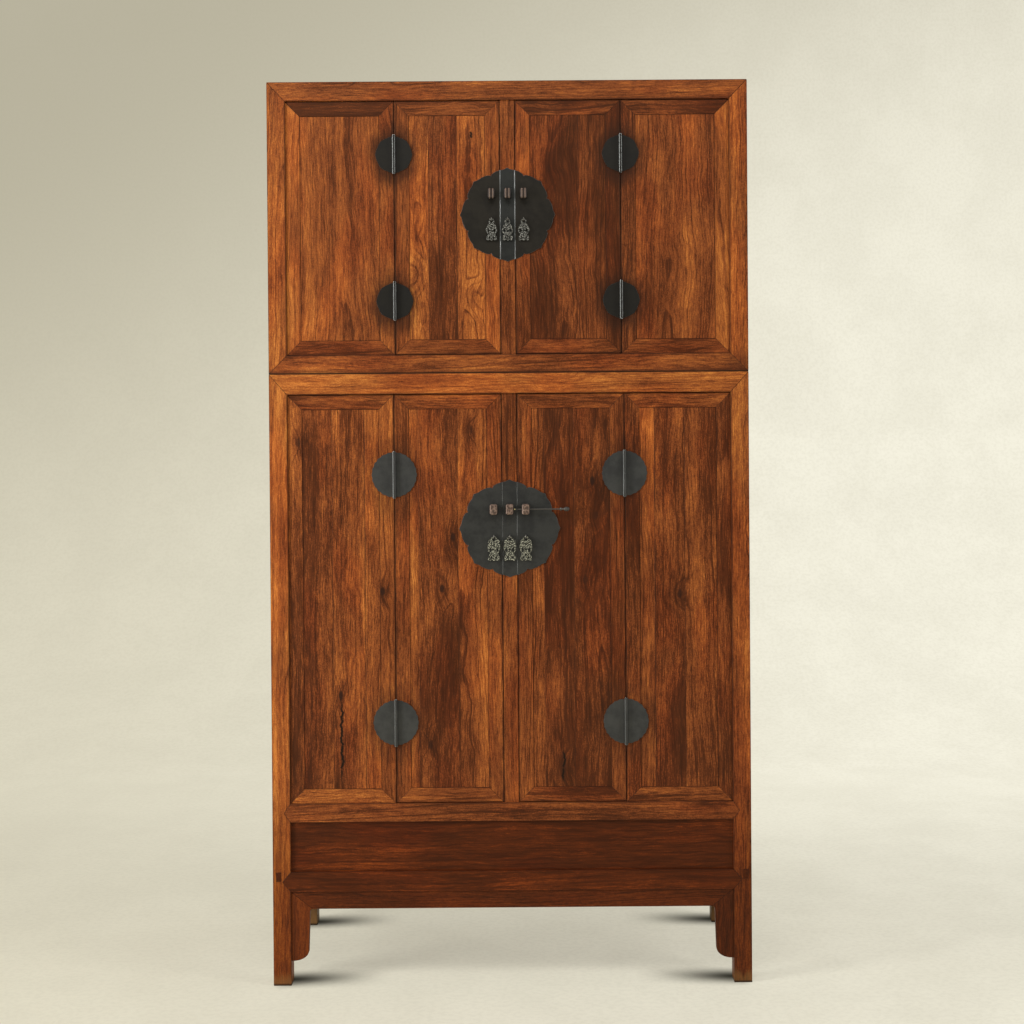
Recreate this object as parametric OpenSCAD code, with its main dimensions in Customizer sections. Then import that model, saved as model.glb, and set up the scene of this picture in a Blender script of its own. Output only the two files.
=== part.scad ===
// Compound wardrobe of polished hardwood with dark iron mounts. A top chest stands loose
// on a taller cabinet. Each has two fixed leaves, two doors on round hinge plates and a
// centre stile that lifts out, and the lower cabinet hides a compartment under two lids.
// The front faces -Y. The object stands centred on the origin.

/* [Overall size] */
// Height of the whole wardrobe
total_h = 2620; // [2520:10:2720]
// Height of the lower cabinet
lower_h = 1775; // [1750:5:1800]
// Width over the posts
width = 1390; // [1350:10:1430]
// Depth over the posts
depth = 620; // [560:10:680]

/* [Frames] */
// Thickness of the square posts
post = 52; // [48:1:56]
// Height of the top chest's top rails
upper_top_h = 55; // [50:1:60]
// Height of the top chest's bottom rails
upper_bottom_h = 54; // [50:1:60]
// Height of the lower cabinet's top rails
lower_top_h = 59; // [54:1:64]
// Underside of the sill rails, which the doors stand over
sill_z = 475; // [466:1:486]
// Height of the sill rails
sill_h = 53; // [50:1:58]
// Underside of the base rails
base_z = 272; // [262:1:280]
// Height of the base rails
base_h = 58; // [54:1:62]
// How far the sill rails' pointed shoulders run into the posts
sill_point = 18; // [14:1:22]
// How far the base rails' pointed shoulders run into the posts
base_point = 24; // [18:1:26]

/* [Apron] */
// Height of the straight apron under the base rails
apron_h = 50; // [40:1:60]
// Width of the spandrels at their top
spandrel_w = 54.5; // [50:0.5:60]
// Height of the spandrels' lower ends over the floor
foot_h = 71; // [62:1:80]
// Thickness of apron and spandrels
apron_t = 18; // [14:1:22]

/* [Panels] */
// Thickness of the side and back panels
panel_t = 12; // [10:1:14]
// Depth of the grooves that hold the panels
tongue = 8; // [6:1:10]
// Thickness of the shelf
shelf_t = 16; // [12:1:20]
// Height of the shelf's upper face
shelf_z = 1120; // [1000:10:1250]

/* [Leaves] */
// Thickness of doors and fixed leaves
leaf_t = 26; // [24:1:30]
// How far their faces lie behind the posts
setback = 5; // [4:0.5:6]
// Width of the mitred members round each leaf
frame_w = 42; // [38:1:46]
// Gap round each door
gap = 2; // [2:0.1:3]
// Width of the centre stiles
stile_w = 42; // [38:1:46]
// Half the distance between the top chest's hinge pins
upper_hinge_x = 328; // [320:1:334]
// Half the distance between the lower cabinet's hinge pins
lower_hinge_x = 334; // [326:1:340]

/* [Iron mounts] */
// Radius of the top chest's hinge plates
upper_hinge_r = 54; // [48:1:58]
// Radius of the lower cabinet's hinge plates
lower_hinge_r = 66; // [58:1:72]
// Distance of the top chest's hinges from the ends of its opening
upper_hinge_end = 156; // [120:1:180]
// Distance of the lower cabinet's hinges from the ends of its opening
lower_hinge_end = 234; // [180:1:280]
// Width of the top chest's lock plate
upper_lock_w = 276; // [264:2:284]
// Height of the top chest's lock plate
upper_lock_h = 272; // [260:2:280]
// Width of the lower cabinet's lock plate
lower_lock_w = 294; // [280:2:300]
// Height of the lower cabinet's lock plate
lower_lock_h = 284; // [274:2:292]
// Height of the top chest's lock plate over the chest's underside, to its middle
upper_lock_z = 458; // [430:1:474]
// Height of the lower cabinet's lock plate over the floor, to its middle
lower_lock_z = 1324; // [1290:1:1350]
// Distance between the staples
staple_pitch = 46.5; // [44:0.5:48]
// How far the staples stand out of the lock plate
staple_out = 24; // [22:1:28]
// Size of the upper pulls against the lower ones
upper_pull_size = 0.9; // [0.85:0.05:1]

/* [Hidden] */
$fn = 48;

// The front faces lie at y = 0 while the pieces are drawn, and the staples reach ahead
// of them, so the whole is moved back to stand centred on the origin.
plate_t = 2;
plate_y = setback - plate_t;
front_y = (staple_out - plate_y - depth) / 2;

half = width / 2;
inner = half - post;
upper_h = total_h - lower_h;
leaf_back = setback + leaf_t;

// Hairline left between members that meet at a mitre
seam = 0.1;

// Openings that the leaves fill, from bottom to top
upper_z0 = upper_bottom_h;
upper_z1 = upper_h - upper_top_h;
lower_z0 = sill_z + sill_h;
lower_z1 = lower_h - lower_top_h;
base_top = base_z + base_h;

// Panels lie a little behind the outer faces of the frame
panel_in = 6;
top_in = 4;
top_t = 10;
floor_t = 12;
shoulder_t = 14;

// Leaves: a panel tongued into four mitred members, with battens across its back
leaf_tongue_y = setback + 3;
leaf_field_y = setback + 1;
leaf_panel_back = setback + 11;
field_reveal = 0.6;
batten_h = 40;

// Hinges: a barrel in front of the leaf, over a plate cut in two along the barrel
hinge_plate_t = 1.6;
barrel_r = 5.5;
barrel_out = 5.8;
knuckle_gap = 0.4;
knuckle_clear = 4.6;
lower_hinge_lobes = 24;
pin_r = 2.5;
pin_head_r = 3.6;
pin_head_h = 1.4;
fixed_bore_r = 2.51;
door_bore_r = 2.56;

// Locks
plate_gap = 0.6;
plate_edge = stile_w / 2 + 0.2;
bore_r = 5;
bore_out = 14;
ring_r = 4.5;
ring_wire_r = 1.5;
ring_out = 5;
pull_t = 3;
upper_staple = [19, 28];
lower_staple = [21, 30];
upper_staple_up = 60;
lower_staple_up = 56;
upper_ring_down = 13;
lower_ring_down = 24;

// Lock rod, drawn back so far that only the right-hand staple holds it
rod_r = 2;
rod_tip = 12;
rod_length = 133;

// Drawing helpers. A front view holds x and z, a side view y and z, a plan x and y.

module bar(from, to) translate(from) cube(to - from);

module front_view(y0, y1)
    translate([0, y1, 0]) rotate([90, 0, 0]) linear_extrude(y1 - y0) children();

module side_view(x0, x1)
    translate([x0, 0, 0]) rotate([90, 0, 90]) linear_extrude(x1 - x0) children();

module plan_view(z0, z1)
    translate([0, 0, z0]) linear_extrude(z1 - z0) children();

module right_side() mirror([1, 0, 0]) children();

module both_sides() {
    children();
    right_side() children();
}

module front_and_back() {
    children();
    translate([0, depth, 0]) mirror([0, 1, 0]) children();
}

module lower_place() translate([0, front_y, 0]) children();

module upper_place() translate([0, front_y, lower_h]) children();

// Frame of a case: posts and rails meet in three-way mitres at the corners.

module case_posts(h, top_h, bottom_h)
    both_sides() front_and_back() intersection() {
        front_view(0, post)
            polygon([[-half, 0], [-half, h], [-inner, h - top_h], [-inner, bottom_h]]);
        side_view(-half, -inner)
            polygon([[0, 0], [0, h], [post, h - top_h], [post, bottom_h]]);
    }

// Ring of rails of height h, whose outer face lies at z = 0 and which hangs below it
module mitred_rails(h) {
    front_and_back() intersection() {
        front_view(0, post) polygon([
            [seam - half, 0], [half - seam, 0], [inner - seam, -h], [seam - inner, -h]
        ]);
        plan_view(-h, 0) polygon([
            [seam - half, 0], [half - seam, 0], [inner - seam, post], [seam - inner, post]
        ]);
    }
    both_sides() intersection() {
        side_view(-half, -inner) polygon([
            [seam, 0], [depth - seam, 0], [depth - post - seam, -h], [post + seam, -h]
        ]);
        plan_view(-h, 0) polygon([
            [-half, seam], [-half, depth - seam],
            [-inner, depth - post - seam], [-inner, post + seam]
        ]);
    }
}

// Pointed shoulders of front, back and side rails, let into the faces of the posts
module rail_points(z, h, reach) {
    both_sides() front_and_back() {
        front_view(0, shoulder_t)
            polygon([[-inner, z], [-inner - reach, z + h / 2], [-inner, z + h]]);
        side_view(-half, shoulder_t - half)
            polygon([[post, z], [post - reach, z + h / 2], [post, z + h]]);
    }
}

// Rails between the posts at height z, with their pointed shoulders
module straight_rails(z, h, reach) {
    front_and_back() bar([-inner, 0, z], [inner, post, z + h]);
    both_sides() bar([-half, post, z], [-inner, depth - post, z + h]);
    rail_points(z, h, reach);
}

// Side base rails run through the posts, and their tenons show on the front faces
module through_tenons()
    both_sides() bar([10 - half, 0, base_top - 27], [24 - half, depth, base_top - 1]);

// Panels between the heights z0 and z1 of an opening, tongued into its frame
module side_panels(z0, z1)
    both_sides() bar(
        [panel_in - half, post - tongue, z0 - tongue],
        [panel_in + panel_t - half, depth - post + tongue, z1 + tongue]
    );

module back_panels(z0, z1, slack)
    both_sides() bar(
        [-inner - tongue, depth - panel_in - panel_t - slack, z0 - tongue],
        [tongue - back_stile_w / 2 + slack, depth - panel_in + slack, z1 + tongue]
    );

module slab(z0, z1)
    bar([-inner - tongue, post - tongue, z0], [inner + tongue, depth - post + tongue, z1]);

// Braces under a slab, from front rail to back rail
module braces(z1)
    both_sides() bar([-235, post, z1 - 26], [-195, depth - post, z1]);

// Stile between the back panels, tenoned into the rails
back_stile_w = 50;
module back_stile(z0, z1) {
    bar([-back_stile_w / 2, depth - 34, z0], [back_stile_w / 2, depth - 2, z1]);
    bar([-15, depth - 26, z0 - 12], [15, depth - 12, z1 + 12]);
}

module grooved_back_stile(z0, z1)
    difference() {
        back_stile(z0, z1);
        back_panels(z0, z1, seam);
    }

// Centre stile: its top slides up into a pocket until the tenon below is free.

stile_up = 8;
pocket_up = 21;
tenon_h = 8;

module centre_stile(z0, z1) {
    bar([-stile_w / 2, setback, z0], [stile_w / 2, leaf_back, z1 + stile_up]);
    bar([-8, setback + 7, z0 - tenon_h], [8, setback + 19, z0]);
}

module stile_pocket(z1)
    bar(
        [-stile_w / 2 - gap * 0.3, setback - 0.5, z1 - 1],
        [stile_w / 2 + gap * 0.3, leaf_back + 0.5, z1 + pocket_up]
    );

module stile_mortise(z0)
    bar([-8.5, setback + 6.5, z0 - tenon_h - 1], [8.5, setback + 19.5, z0 + 1]);

// Leaves, given by the edges x0 < x1 and z0 < z1. Stiles and rails of the frame meet in
// mitres, and the panel floats in their grooves.

module leaf_frame(x0, x1, z0, z1) {
    f = frame_w;
    s = seam;
    difference() {
        front_view(setback, leaf_back) {
            polygon([[x0, z0], [x0, z1], [x0 + f, z1 - f], [x0 + f, z0 + f]]);
            polygon([[x1, z0], [x1, z1], [x1 - f, z1 - f], [x1 - f, z0 + f]]);
            polygon([[x0 + s, z1], [x1 - s, z1], [x1 - f - s, z1 - f], [x0 + f + s, z1 - f]]);
            polygon([[x0 + s, z0], [x1 - s, z0], [x1 - f - s, z0 + f], [x0 + f + s, z0 + f]]);
        }
        leaf_tongue(x0, x1, z0, z1, seam);
    }
}

module leaf_tongue(x0, x1, z0, z1, slack) {
    edge = frame_w - tongue - slack;
    bar(
        [x0 + edge, leaf_tongue_y - slack, z0 + edge],
        [x1 - edge, leaf_panel_back + slack, z1 - edge]
    );
}

module leaf_panel(x0, x1, z0, z1, battens) {
    edge = frame_w + field_reveal;
    leaf_tongue(x0, x1, z0, z1, 0);
    bar([x0 + edge, leaf_field_y, z0 + edge], [x1 - edge, leaf_panel_back, z1 - edge]);
    for (i = [1 : battens]) {
        z = z0 + frame_w + (z1 - z0 - 2 * frame_w) * (i - 0.5) / battens;
        bar(
            [x0 + frame_w + seam, leaf_panel_back + seam, z - batten_h / 2],
            [x1 - frame_w - seam, leaf_back - 1, z + batten_h / 2]
        );
    }
}

// Left-hand leaves. A fixed one runs from post to hinge, a door from hinge to stile.
module fixed_leaves(hinge_x, z0, z1, battens)
    both_sides() {
        leaf_frame(-inner, -hinge_x - gap / 2, z0, z1 - gap);
        leaf_panel(-inner, -hinge_x - gap / 2, z0, z1 - gap, battens);
    }

module door_frame(hinge_x, z0, z1)
    leaf_frame(gap / 2 - hinge_x, -stile_w / 2 - gap, z0 + gap, z1 - gap);

module door_panel(hinge_x, z0, z1, battens)
    leaf_panel(gap / 2 - hinge_x, -stile_w / 2 - gap, z0 + gap, z1 - gap, battens);

// Outline of an iron plate whose lobes are each drawn out to a point. They swell between
// the notches, and "notch" and "swell" are shares of the radius.
module lobed_outline(rx, rz, lobes, notch, swell, tip) {
    half = 180 / lobes;
    step = 1.5;
    polygon([
        for (a = [0 : step : 360 - step])
            let (
                d = abs((a + half) % (2 * half) - half),
                lobe = notch + (swell - notch) * sqrt(1 - pow(d / half, 2.6)),
                nib = (1 - swell) * pow(max(0, 1 - d / tip), 1.5),
                r = lobe + nib
            )
            [rx * r * cos(a), rz * r * sin(a)]
    ]);
}

// Hinges, drawn about the pin's axis at the leaf's face. The fixed leaf lies to the left
// and has the lower knuckle, and the door's leaf to the right has the upper one.

module hinge_plate(r, lobes, z0, z1)
    front_view(-hinge_plate_t, 0) intersection() {
        if (lobes > 8) lobed_outline(r, r, lobes, 0.965, 0.985, 4);
        else lobed_outline(r, r, lobes, 0.94, 0.975, 7);
        union() {
            translate([-r - 1, -r - 1]) square([r + 1 - knuckle_clear, 2 * r + 2]);
            translate([-r - 1, z0]) square([r + 1, z1 - z0]);
        }
    }

module knuckle(z0, z1, hole_r)
    translate([0, -barrel_out, 0]) difference() {
        plan_view(z0, z1) circle(barrel_r);
        plan_view(z0 - 1, z1 + 1) circle(hole_r);
    }

module fixed_hinge_leaf(r, lobes) {
    hinge_plate(r, lobes, -r - 1, -knuckle_gap / 2);
    knuckle(-r - 1, -knuckle_gap / 2, fixed_bore_r);
}

module door_hinge_leaf(r, lobes) {
    right_side() hinge_plate(r, lobes, knuckle_gap / 2, r + 1);
    knuckle(knuckle_gap / 2, r + 1, door_bore_r);
}

module hinge_pin(r)
    translate([0, -barrel_out, 0]) {
        plan_view(-r - 1, r + 1.3) circle(pin_r);
        plan_view(-r - 1 - pin_head_h, -r - 1) circle(pin_head_r);
        plan_view(r + 1.3, r + 1.3 + pin_head_h) circle(pin_head_r);
    }

module at_hinges(hinge_x, z0, z1, end)
    for (z = [z0 + end, z1 - end]) translate([-hinge_x, setback, z]) children();

// Locks, drawn about the centre of the lock plate.

module lock_plate(w, h)
    front_view(plate_y, setback) lobed_outline(w / 2, h / 2, 8, 0.885, 0.962, 6);

module centre_plate(w, h)
    intersection() {
        lock_plate(w, h);
        bar([-plate_edge + plate_gap / 2, 0, -h], [plate_edge - plate_gap / 2, leaf_t, h]);
    }

module left_plate(w, h)
    intersection() {
        lock_plate(w, h);
        bar([-w, 0, -h], [-plate_edge - plate_gap / 2, leaf_t, h]);
    }

// Block staple with cut corners and bevelled front edges, bored from side to side
module staple(size, up) {
    bevel = 3;
    cut = 3.5;
    w = size[0] / 2;
    h = size[1] / 2;
    tip = plate_y - staple_out;
    translate([0, 0, up]) difference() {
        intersection() {
            plan_view(-h, h) polygon([
                [-w, plate_y], [-w, tip + bevel], [bevel - w, tip],
                [w - bevel, tip], [w, tip + bevel], [w, plate_y]
            ]);
            side_view(-w, w) polygon([
                [plate_y, -h], [tip + bevel, -h], [tip, bevel - h],
                [tip, h - bevel], [tip + bevel, h], [plate_y, h]
            ]);
            front_view(tip - 1, plate_y + 1) polygon([
                [cut - w, -h], [w - cut, -h], [w, cut - h], [w, h - cut],
                [w - cut, h], [cut - w, h], [-w, h - cut], [-w, cut - h]
            ]);
        }
        translate([-w - 1, plate_y - bore_out, 0])
            rotate([0, 90, 0]) cylinder(r = bore_r, h = size[0] + 2);
    }
}

// Wire ring that stands out of the plate and carries a pull
module pull_ring(down, size)
    difference() {
        translate([0, plate_y - ring_out, -down]) scale(size) rotate([0, 90, 0])
            rotate_extrude() translate([ring_r, 0]) circle(ring_wire_r);
        bar([-ring_r, plate_y, -down - 2 * ring_r], [ring_r, plate_y + 2 * ring_r, 2 * ring_r - down]);
    }

module left_staples(size, up, down, pull_size)
    translate([-staple_pitch, 0, 0]) centre_staples(size, up, down, pull_size);

module centre_staples(size, up, down, pull_size) {
    staple(size, up);
    pull_ring(down, pull_size);
}

// Openwork pull like a vase on a stand, drawn about the centre of its ring. The lower
// ones have broad shoulders, and the upper ones taper to the head.
module oval(rx, rz)
    polygon([for (a = [0 : 10 : 350]) [rx * cos(a), rz * sin(a)]]);

module sliced(t)
    for (i = [0 : $children - 1]) front_view(-t / 2, t / 2) children(i);

module pull_body(broad) {
    lug = broad ? [10.5, -14, 6] : [8.5, -22.5, 5];
    sliced(pull_t) {
        translate([0, -7]) circle(9);
        polygon([[-7, -12], [7, -12], [13, -26], [-13, -26]]);
        translate([-lug[0], lug[1]]) circle(lug[2]);
        translate([lug[0], lug[1]]) circle(lug[2]);
        translate([0, broad ? -30 : -35]) oval(18, broad ? 23 : 18);
        polygon([[-11, -48], [11, -48], [16.5, -59], [16.5, -66], [-16.5, -66], [-16.5, -59]]);
        translate([-11.5, -64]) circle(5);
        translate([0, -64]) circle(5);
        translate([11.5, -64]) circle(5);
    }
}

module pull_openings(broad)
    sliced(pull_t + 2) {
        translate([0, -7]) circle(4.7);
        translate([0, -21.5]) circle(2.4);
        translate([-7.5, broad ? -17 : -23]) circle(1.6);
        translate([7.5, broad ? -17 : -23]) circle(1.6);
        translate([0, -37]) oval(13.5, 10);
        translate([0, -53]) circle(2.2);
        polygon([[-3, -63], [-11, -63], [-7, -54]]);
        polygon([[3, -63], [11, -63], [7, -54]]);
    }

module pull(down, size, broad)
    translate([0, plate_y - ring_out, -down]) scale(size) {
        difference() {
            pull_body(broad);
            pull_openings(broad);
        }
        difference() {
            sliced(pull_t) {
                translate([0, -31.5]) oval(8.5, 7);
                translate([0, -42.5]) oval(8, 6.5);
            }
            sliced(pull_t + 2) translate([0, -37]) oval(4.4, 1.7);
        }
    }

// Apron of a front or side: a straight board mitred to a spandrel at each end. The
// outline's x counts from the face of the left-hand post, over a clear span.
fillet_r = 8;
spandrel_taper = 4;
spandrel_round_z = 100;

module apron_board(span) {
    reach = spandrel_w + fillet_r;
    low = base_z - apron_h;
    polygon([[seam, base_z], [span - seam, base_z], [span - reach - seam, low], [reach + seam, low]]);
}

module spandrel() {
    low = base_z - apron_h;
    foot_w = spandrel_w - spandrel_taper;
    polygon([
        [0, base_z],
        for (a = [90 : 15 : 180])
            [spandrel_w + fillet_r + fillet_r * cos(a), low - fillet_r + fillet_r * sin(a)],
        for (a = [0 : 10 : 90])
            [5 + (foot_w - 5) * cos(a), spandrel_round_z - (spandrel_round_z - foot_h) * sin(a)],
        [0, foot_h]
    ]);
}

module apron_outline(span) {
    apron_board(span);
    spandrel();
    translate([span, 0]) mirror([1, 0]) spandrel();
}

// Lower cabinet

module lower_panel_blocks() {
    side_panels(lower_z0, lower_z1);
    side_panels(base_top, sill_z);
    back_panels(lower_z0, lower_z1, 0);
    compartment_back();
    slab(lower_h - top_in - top_t, lower_h - top_in);
    compartment_slab();
    compartment_front();
}

compartment_floor_z = base_top - 18;
module compartment_slab()
    slab(compartment_floor_z, compartment_floor_z + floor_t);

module compartment_front()
    bar(
        [-inner - tongue, 8, base_top - tongue],
        [inner + tongue, 8 + panel_t, sill_z + tongue]
    );

module compartment_back()
    bar(
        [-inner - tongue, depth - panel_in - panel_t, base_top - tongue],
        [inner + tongue, depth - panel_in, sill_z + tongue]
    );

module lower_posts()
    color("saddlebrown") lower_place() difference() {
        case_posts(lower_h, lower_top_h, 0);
        lower_panel_blocks();
        rail_points(sill_z, sill_h, sill_point);
        rail_points(base_z, base_h, base_point);
        through_tenons();
    }

module lower_top_rails()
    color("sienna") lower_place() difference() {
        translate([0, 0, lower_h]) mitred_rails(lower_top_h);
        lower_panel_blocks();
        back_stile(lower_z0, lower_z1);
        stile_pocket(lower_z1);
    }

module lower_top_panel()
    color("peru") lower_place() {
        slab(lower_h - top_in - top_t, lower_h - top_in);
        braces(lower_h - top_in - top_t - seam);
    }

// The lids rest on rebates in the sill rails and on a cross rail between them.
lid_t = 14;
lid_rebate = 12;
module sill_rebates()
    bar([-inner, post - lid_rebate, lower_z0 - lid_t], [inner, depth - post + lid_rebate, lower_z0 + 1]);

module lower_sill_rails()
    color("sienna") lower_place() {
        difference() {
            straight_rails(sill_z, sill_h, sill_point);
            lower_panel_blocks();
            back_stile(lower_z0, lower_z1);
            sill_rebates();
            stile_mortise(lower_z0);
        }
        bar([-20, post + seam, sill_z], [20, depth - post - seam, lower_z0 - lid_t]);
    }

module lower_base_rails()
    color("sienna") lower_place() difference() {
        union() {
            straight_rails(base_z, base_h, base_point);
            through_tenons();
        }
        lower_panel_blocks();
    }

module lower_side_panels()
    color("peru") lower_place() {
        side_panels(lower_z0, lower_z1);
        side_panels(base_top, sill_z);
    }

module lower_back_panels()
    color("peru") lower_place() {
        back_panels(lower_z0, lower_z1, 0);
        compartment_back();
        grooved_back_stile(lower_z0, lower_z1);
    }

module lower_side_leaves()
    color("chocolate") lower_place() fixed_leaves(lower_hinge_x, lower_z0, lower_z1, 4);

// Shelf on a bearer at each side
shelf_front = 40;
module lower_shelf()
    color("burlywood") lower_place() {
        bar([1 - inner, shelf_front, shelf_z - shelf_t], [inner - 1, depth - 36, shelf_z]);
        both_sides() bar(
            [panel_in + panel_t - half, post, shelf_z - shelf_t - 30],
            [20 - inner, depth - post, shelf_z - shelf_t - seam]
        );
    }

module compartment_floor()
    color("burlywood") lower_place() compartment_slab();

module compartment_front_panel()
    color("saddlebrown") lower_place() compartment_front();

module left_lid()
    bar([2 - inner, post - lid_rebate + 1, lower_z0 - lid_t], [-1, depth - post + lid_rebate - 1, lower_z0]);

module compartment_lid_left()
    color("burlywood") lower_place() left_lid();

module compartment_lid_right()
    color("burlywood") lower_place() right_side() left_lid();

apron_in = 4;
module front_apron()
    color("saddlebrown") lower_place()
        front_view(apron_in, apron_in + apron_t) translate([-inner, 0]) apron_outline(2 * inner);

module side_aprons()
    color("saddlebrown") lower_place() both_sides()
        side_view(apron_in - half, apron_in + apron_t - half)
            translate([post, 0]) apron_outline(depth - 2 * post);

module lower_fixed_hinge_leaves()
    color("dimgray") lower_place() both_sides()
        at_hinges(lower_hinge_x, lower_z0, lower_z1, lower_hinge_end)
            fixed_hinge_leaf(lower_hinge_r, lower_hinge_lobes);

module lower_hinge_pins()
    color("silver") lower_place() both_sides()
        at_hinges(lower_hinge_x, lower_z0, lower_z1, lower_hinge_end)
            hinge_pin(lower_hinge_r);

// Doors of the lower cabinet

module left_lower_hinges()
    at_hinges(lower_hinge_x, lower_z0, lower_z1, lower_hinge_end)
        door_hinge_leaf(lower_hinge_r, lower_hinge_lobes);

module lower_left_door_frame()
    color("chocolate") lower_place() door_frame(lower_hinge_x, lower_z0, lower_z1);

module lower_left_door_panel()
    color("sandybrown") lower_place() door_panel(lower_hinge_x, lower_z0, lower_z1, 4);

module lower_left_door_hinges()
    color("dimgray") lower_place() left_lower_hinges();

module lower_right_door_frame()
    color("chocolate") lower_place() right_side() door_frame(lower_hinge_x, lower_z0, lower_z1);

module lower_right_door_panel()
    color("sandybrown") lower_place() right_side() door_panel(lower_hinge_x, lower_z0, lower_z1, 4);

module lower_right_door_hinges()
    color("dimgray") lower_place() right_side() left_lower_hinges();

module lower_centre_stile()
    color("chocolate") lower_place() centre_stile(lower_z0, lower_z1);

// Lock of the lower cabinet

module lower_lock_place()
    lower_place() translate([0, 0, lower_lock_z]) children();

module lower_left_lock_plate()
    color("darkslategray") lower_lock_place() left_plate(lower_lock_w, lower_lock_h);

module lower_right_lock_plate()
    color("darkslategray") lower_lock_place() right_side() left_plate(lower_lock_w, lower_lock_h);

module lower_centre_lock_plate()
    color("darkslategray") lower_lock_place() centre_plate(lower_lock_w, lower_lock_h);

module lower_left_staples()
    color("rosybrown") lower_lock_place()
        left_staples(lower_staple, lower_staple_up, lower_ring_down, 1);

module lower_right_staples()
    color("rosybrown") lower_lock_place() right_side()
        left_staples(lower_staple, lower_staple_up, lower_ring_down, 1);

module lower_centre_staples()
    color("rosybrown") lower_lock_place()
        centre_staples(lower_staple, lower_staple_up, lower_ring_down, 1);

module lower_left_pull()
    color("gray") lower_lock_place() translate([-staple_pitch, 0, 0]) pull(lower_ring_down, 1, true);

module lower_right_pull()
    color("gray") lower_lock_place() translate([staple_pitch, 0, 0]) pull(lower_ring_down, 1, true);

module lower_centre_pull()
    color("gray") lower_lock_place() pull(lower_ring_down, 1, true);

// Rod with a turned knob driven on its end, pushed through all three staples to lock
knob_socket = 8;
module lock_rod()
    color("slategray") lower_lock_place()
        translate([rod_tip, plate_y - bore_out, lower_staple_up]) rotate([90, 0, 90]) {
            rotate_extrude() polygon([
                [0, 0], [rod_r, 1.5], [rod_r, rod_length + knob_socket - seam],
                [0, rod_length + knob_socket - seam]
            ]);
            translate([0, 0, rod_length]) rotate_extrude() polygon([
                [rod_r + seam, 0], [3.4, 0], [4.6, 2], [4.6, 5], [3.2, 7], [3.2, 12],
                [5.5, 14], [6.5, 18], [6.5, 21], [5.5, 25], [3, 28], [0, 28],
                [0, knob_socket], [rod_r + seam, knob_socket]
            ]);
        }

// Top chest

module upper_panel_blocks() {
    side_panels(upper_z0, upper_z1);
    back_panels(upper_z0, upper_z1, 0);
    slab(upper_h - top_in - top_t, upper_h - top_in);
    slab(upper_z0 - top_in - floor_t, upper_z0 - top_in);
}

module upper_posts()
    color("saddlebrown") upper_place() difference() {
        case_posts(upper_h, upper_top_h, upper_bottom_h);
        upper_panel_blocks();
    }

module upper_top_rails()
    color("sienna") upper_place() difference() {
        translate([0, 0, upper_h]) mitred_rails(upper_top_h);
        upper_panel_blocks();
        back_stile(upper_z0, upper_z1);
        stile_pocket(upper_z1);
    }

module upper_top_panel()
    color("peru") upper_place() {
        slab(upper_h - top_in - top_t, upper_h - top_in);
        braces(upper_h - top_in - top_t - seam);
    }

module upper_bottom_rails()
    color("sienna") upper_place() difference() {
        mirror([0, 0, 1]) mitred_rails(upper_bottom_h);
        upper_panel_blocks();
        back_stile(upper_z0, upper_z1);
        stile_mortise(upper_z0);
    }

module upper_floor()
    color("burlywood") upper_place() {
        slab(upper_z0 - top_in - floor_t, upper_z0 - top_in);
        braces(upper_z0 - top_in - floor_t - seam);
    }

module upper_side_panels()
    color("peru") upper_place() side_panels(upper_z0, upper_z1);

module upper_back_panels()
    color("peru") upper_place() {
        back_panels(upper_z0, upper_z1, 0);
        grooved_back_stile(upper_z0, upper_z1);
    }

module upper_side_leaves()
    color("chocolate") upper_place() fixed_leaves(upper_hinge_x, upper_z0, upper_z1, 2);

module upper_fixed_hinge_leaves()
    color("dimgray") upper_place() both_sides()
        at_hinges(upper_hinge_x, upper_z0, upper_z1, upper_hinge_end)
            fixed_hinge_leaf(upper_hinge_r, 8);

module upper_hinge_pins()
    color("silver") upper_place() both_sides()
        at_hinges(upper_hinge_x, upper_z0, upper_z1, upper_hinge_end)
            hinge_pin(upper_hinge_r);

// Doors of the top chest

module left_upper_hinges()
    at_hinges(upper_hinge_x, upper_z0, upper_z1, upper_hinge_end)
        door_hinge_leaf(upper_hinge_r, 8);

module upper_left_door_frame()
    color("chocolate") upper_place() door_frame(upper_hinge_x, upper_z0, upper_z1);

module upper_left_door_panel()
    color("sandybrown") upper_place() door_panel(upper_hinge_x, upper_z0, upper_z1, 2);

module upper_left_door_hinges()
    color("dimgray") upper_place() left_upper_hinges();

module upper_right_door_frame()
    color("chocolate") upper_place() right_side() door_frame(upper_hinge_x, upper_z0, upper_z1);

module upper_right_door_panel()
    color("sandybrown") upper_place() right_side() door_panel(upper_hinge_x, upper_z0, upper_z1, 2);

module upper_right_door_hinges()
    color("dimgray") upper_place() right_side() left_upper_hinges();

module upper_centre_stile()
    color("chocolate") upper_place() centre_stile(upper_z0, upper_z1);

// Lock of the top chest

module upper_lock_place()
    upper_place() translate([0, 0, upper_lock_z]) children();

module upper_left_lock_plate()
    color("darkslategray") upper_lock_place() left_plate(upper_lock_w, upper_lock_h);

module upper_right_lock_plate()
    color("darkslategray") upper_lock_place() right_side() left_plate(upper_lock_w, upper_lock_h);

module upper_centre_lock_plate()
    color("darkslategray") upper_lock_place() centre_plate(upper_lock_w, upper_lock_h);

module upper_left_staples()
    color("rosybrown") upper_lock_place()
        left_staples(upper_staple, upper_staple_up, upper_ring_down, upper_pull_size);

module upper_right_staples()
    color("rosybrown") upper_lock_place() right_side()
        left_staples(upper_staple, upper_staple_up, upper_ring_down, upper_pull_size);

module upper_centre_staples()
    color("rosybrown") upper_lock_place()
        centre_staples(upper_staple, upper_staple_up, upper_ring_down, upper_pull_size);

module upper_left_pull()
    color("gray") upper_lock_place()
        translate([-staple_pitch, 0, 0]) pull(upper_ring_down, upper_pull_size, false);

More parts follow.
